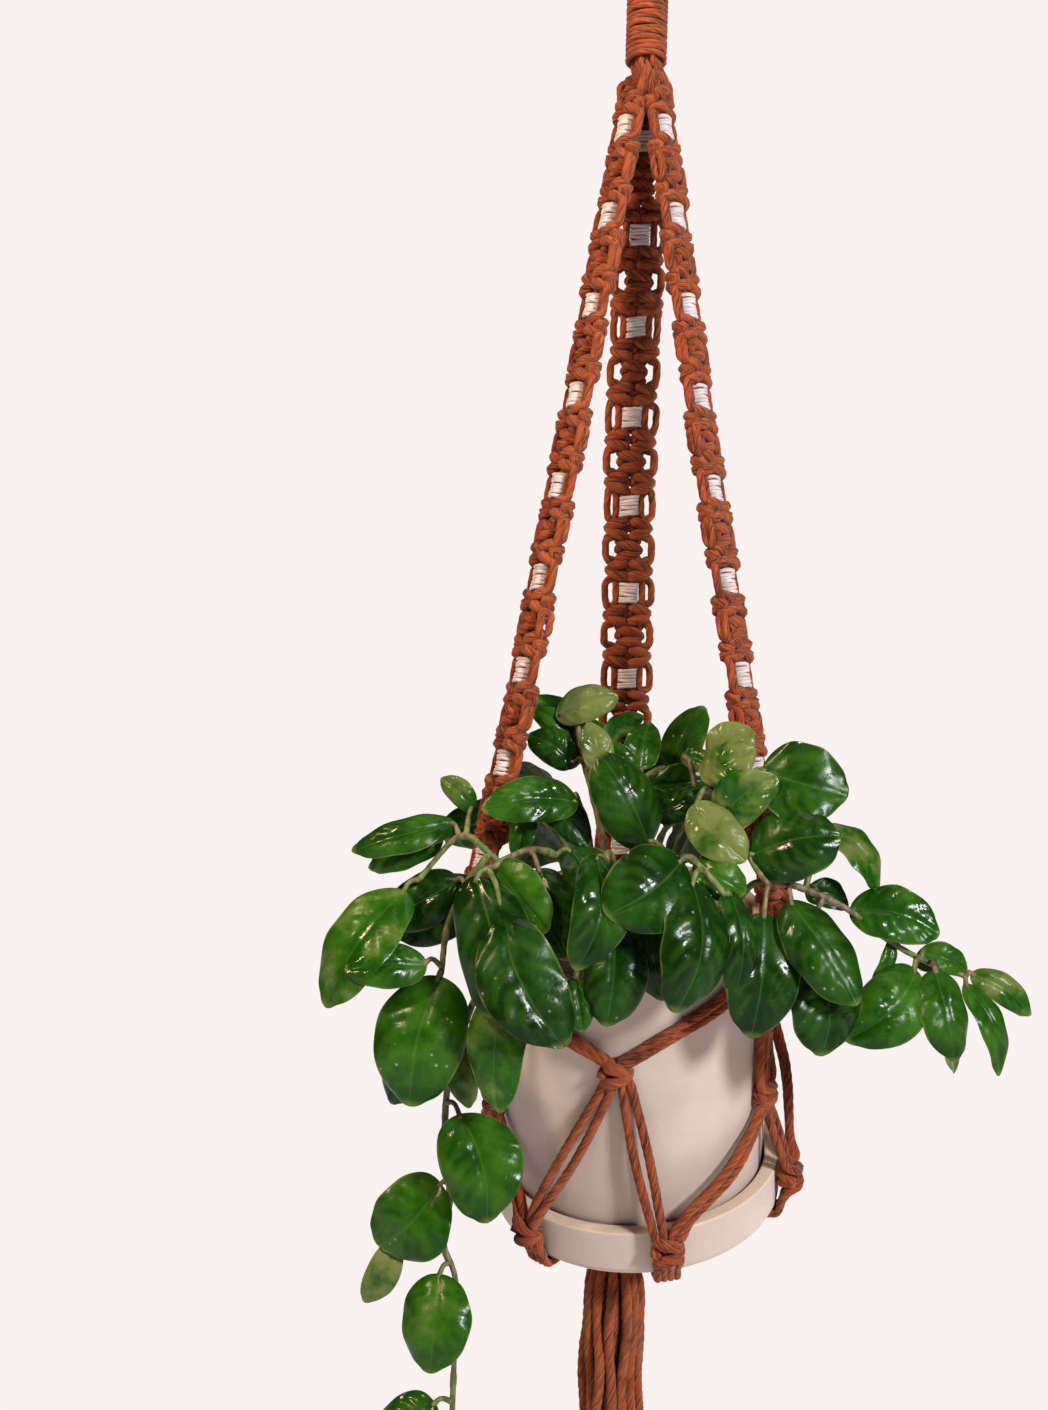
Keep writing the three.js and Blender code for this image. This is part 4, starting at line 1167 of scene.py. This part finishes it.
def add_leaf(shape, base, tip, width, age, rng):
    """A thick crinkled leaf: an arched blade, quilted between its side veins, with a sunken midrib."""
    base, tip = np.array(base, float), np.array(tip, float)
    length = np.linalg.norm(tip - base)
    along = unit(tip - base)
    outward_y = 1.0 if base[1] >= 0 else -1.0
    lean = np.array([0.25 * np.sign(base[0]) * min(abs(base[0]) / 100, 1), outward_y, 0.35])
    face = unit(lean - lean.dot(along) * along + rng.normal(0, 0.16, 3))
    face = unit(face - face.dot(along) * along)
    across = np.cross(along, face)
    t = (0.5 - 0.5 * np.cos(np.pi * np.linspace(0.012, 0.995, LEAF_ROWS)))[:, None]
    s = np.sin(0.5 * np.pi * np.linspace(-1, 1, LEAF_COLUMNS))[None, :]
    half = width / 2 * leaf_half_width(t)
    arch = rng.uniform(0.07, 0.17) * length
    cup = rng.uniform(-0.1, 0.42) * (1.3 - age)
    twist = rng.uniform(-0.35, 0.35)
    veins, phase = rng.uniform(4.6, 6.2), rng.uniform(0, 1)
    place = veins * (1.1 * t - 0.3 * np.abs(s)) + phase + 0.12 * np.sin(9 * s + 7 * t)
    inside = np.clip(np.sin(np.pi * np.clip(np.abs(s), 0, 1)), 0, 1) ** 0.6 * np.sin(np.pi * t) ** 0.5
    quilt = np.abs(np.sin(np.pi * place)) ** 0.7 * inside
    relief = min(width, 30) * rng.uniform(0.02, 0.05)
    lumps = 0.5 * relief * np.sin(3.1 * s + 8 * t + 6 * phase) * np.sin(11 * t + 2.6 * s + phase)
    rib = -0.9 * np.exp(-((s * half / 1.3) ** 2)) * np.sin(np.pi * t) ** 0.3
    height = arch * np.sin(np.pi * t) - cup * half * s**2 + relief * quilt + lumps * inside + rib
    edge_wave = 0.03 * width * np.sin(17 * t + 5 * phase) * s**4
    swing = twist * (t - 0.3) * s * half
    side = s * half * (1 - 0.12 * cup * s**2)
    middle = (
        base
        + along * (length * t[..., None])
        + across * side[..., None]
        + face * (height + edge_wave + swing)[..., None]
    )
    bend = 0.1 * length * rng.uniform(-1, 1)
    middle = middle + across * (bend * np.sin(np.pi * t))[..., None]
    du, dv = np.gradient(middle, axis=0), np.gradient(middle, axis=1)
    normal = unit(np.cross(dv, du) + 1e-9)
    if (normal[LEAF_ROWS // 2, LEAF_COLUMNS // 2] * face).sum() < 0:
        normal = -normal
    thick = 0.55 * np.clip(1 - np.abs(s) ** 6, 0.12, 1) * np.clip(np.sin(np.pi * t) ** 0.4, 0.15, 1)
    upper = middle + normal * thick[..., None]
    lower = middle - normal * thick[..., None]
    leaf_place = np.stack(np.broadcast_arrays(s, t, age + 0 * t * s), axis=-1).reshape(-1, 3)
    n = LEAF_ROWS * LEAF_COLUMNS
    sheet = grid_faces(LEAF_ROWS, LEAF_COLUMNS, False)
    index = np.arange(n).reshape(LEAF_ROWS, LEAF_COLUMNS)
    rim = np.concatenate([index[0, :-1], index[:-1, -1], index[-1, :0:-1], index[:0:-1, 0]])
    following = np.roll(rim, -1)
    border = np.stack([rim, following, following + n, rim + n], axis=1)
    if np.cross(across, along).dot(face) > 0:
        faces = [*sheet, *(sheet[:, ::-1] + n), *border[:, ::-1]]
    else:
        faces = [*sheet[:, ::-1], *(sheet + n), *border]
    points = np.vstack([upper.reshape(-1, 3), lower.reshape(-1, 3)])
    # The quilt height on the upper face and none on the lower: the mask for the painted light on the bulges'
    # crests.
    both = np.concatenate([(quilt + 0 * t).ravel(), np.zeros(n)])
    shape.add(points, faces, leaf=np.vstack([leaf_place, leaf_place]), bulge=both)


def add_stalk(shape, start, base, tip, rng):
    base, tip = np.array(base, float), np.array(tip, float)
    end = base + 0.05 * (tip - base)
    middle = start + 0.55 * (end - start) + UP * (0.16 * np.linalg.norm(end - start) + 1)
    rows = [(*start, 1.5), (*middle, 1.15), (*end, 1.35)]
    add_cord(shape, smooth_path(rows, 1.6), rng, sides=9, relief=0.02, spread=0.04)


def add_stem(shape, points, rng, thick):
    """A vine's stem, thinner towards its end and swollen where leaves leave it."""
    rows = [(*p, thick * (1 - 0.35 * i / len(points))) for i, p in enumerate(points)]
    path = smooth_path(rows, 1.5)
    swell = 1 + 0.28 * np.exp(-(((np.arange(len(path)) % 19) - 9) / 2.2) ** 2)
    path[:, 3] *= swell
    add_cord(shape, path, rng, sides=11, relief=0.05, spread=0.05)
    return path[:, :3]


def make_foliage(name, leaves, stems, body, node, seed):
    rng = np.random.default_rng(SEED + seed)
    green, wood = Shape(), Shape()
    thick = 1.9 if name == "crown" else 1.75
    joints = np.vstack([add_stem(wood, stem, rng, thick) for stem in stems])
    for base, tip, width, age in leaves:
        width *= LEAF_FULLNESS
        start = joints[np.argmin(np.linalg.norm(joints - np.array(base), axis=1))]
        add_stalk(wood, start, base, tip, rng)
        add_leaf(green, base, tip, width, age, rng)
    green.make(f"{name}_leaves", LEAF, body, "leaf", [node])
    wood.make(f"{name}_stems", STEM, body, "leaf", [node])


def make_plant():
    make_foliage("crown", CROWN_LEAVES, CROWN_STEMS, "pot", "plant_crown", 20)
    make_foliage("left_shoot", LEFT_LEAVES, [LEFT_STEM, LEFT_BRANCH], "left_shoot", "left_shoot", 21)
    make_foliage("right_shoot", RIGHT_LEAVES, [RIGHT_STEM], "right_shoot", "right_shoot", 22)
    make_foliage("trailing_vine", VINE_LEAVES, [VINE_STEM], "trailing_vine", "trailing_vine", 23)


# ---------- everything ----------
make_camera()
make_tassel()
make_floor()
make_lights()
make_world()
make_ring()
make_loops()
make_wrap(
    "top_wrap_coil", (0, 0), WRAP_TOP, WRAP_BOTTOM, WRAP_RADIUS, "top_wrap", np.random.default_rng(SEED)
)
make_straps_and_net()
make_wrap(
    "gathering_coil", GATHER_CENTRE, GATHER_TOP, GATHER_BOTTOM, GATHER_RADIUS, "gathering_wrap",
    np.random.default_rng(SEED + 1),
)
make_pot()
make_saucer()
make_soil()
make_plant()
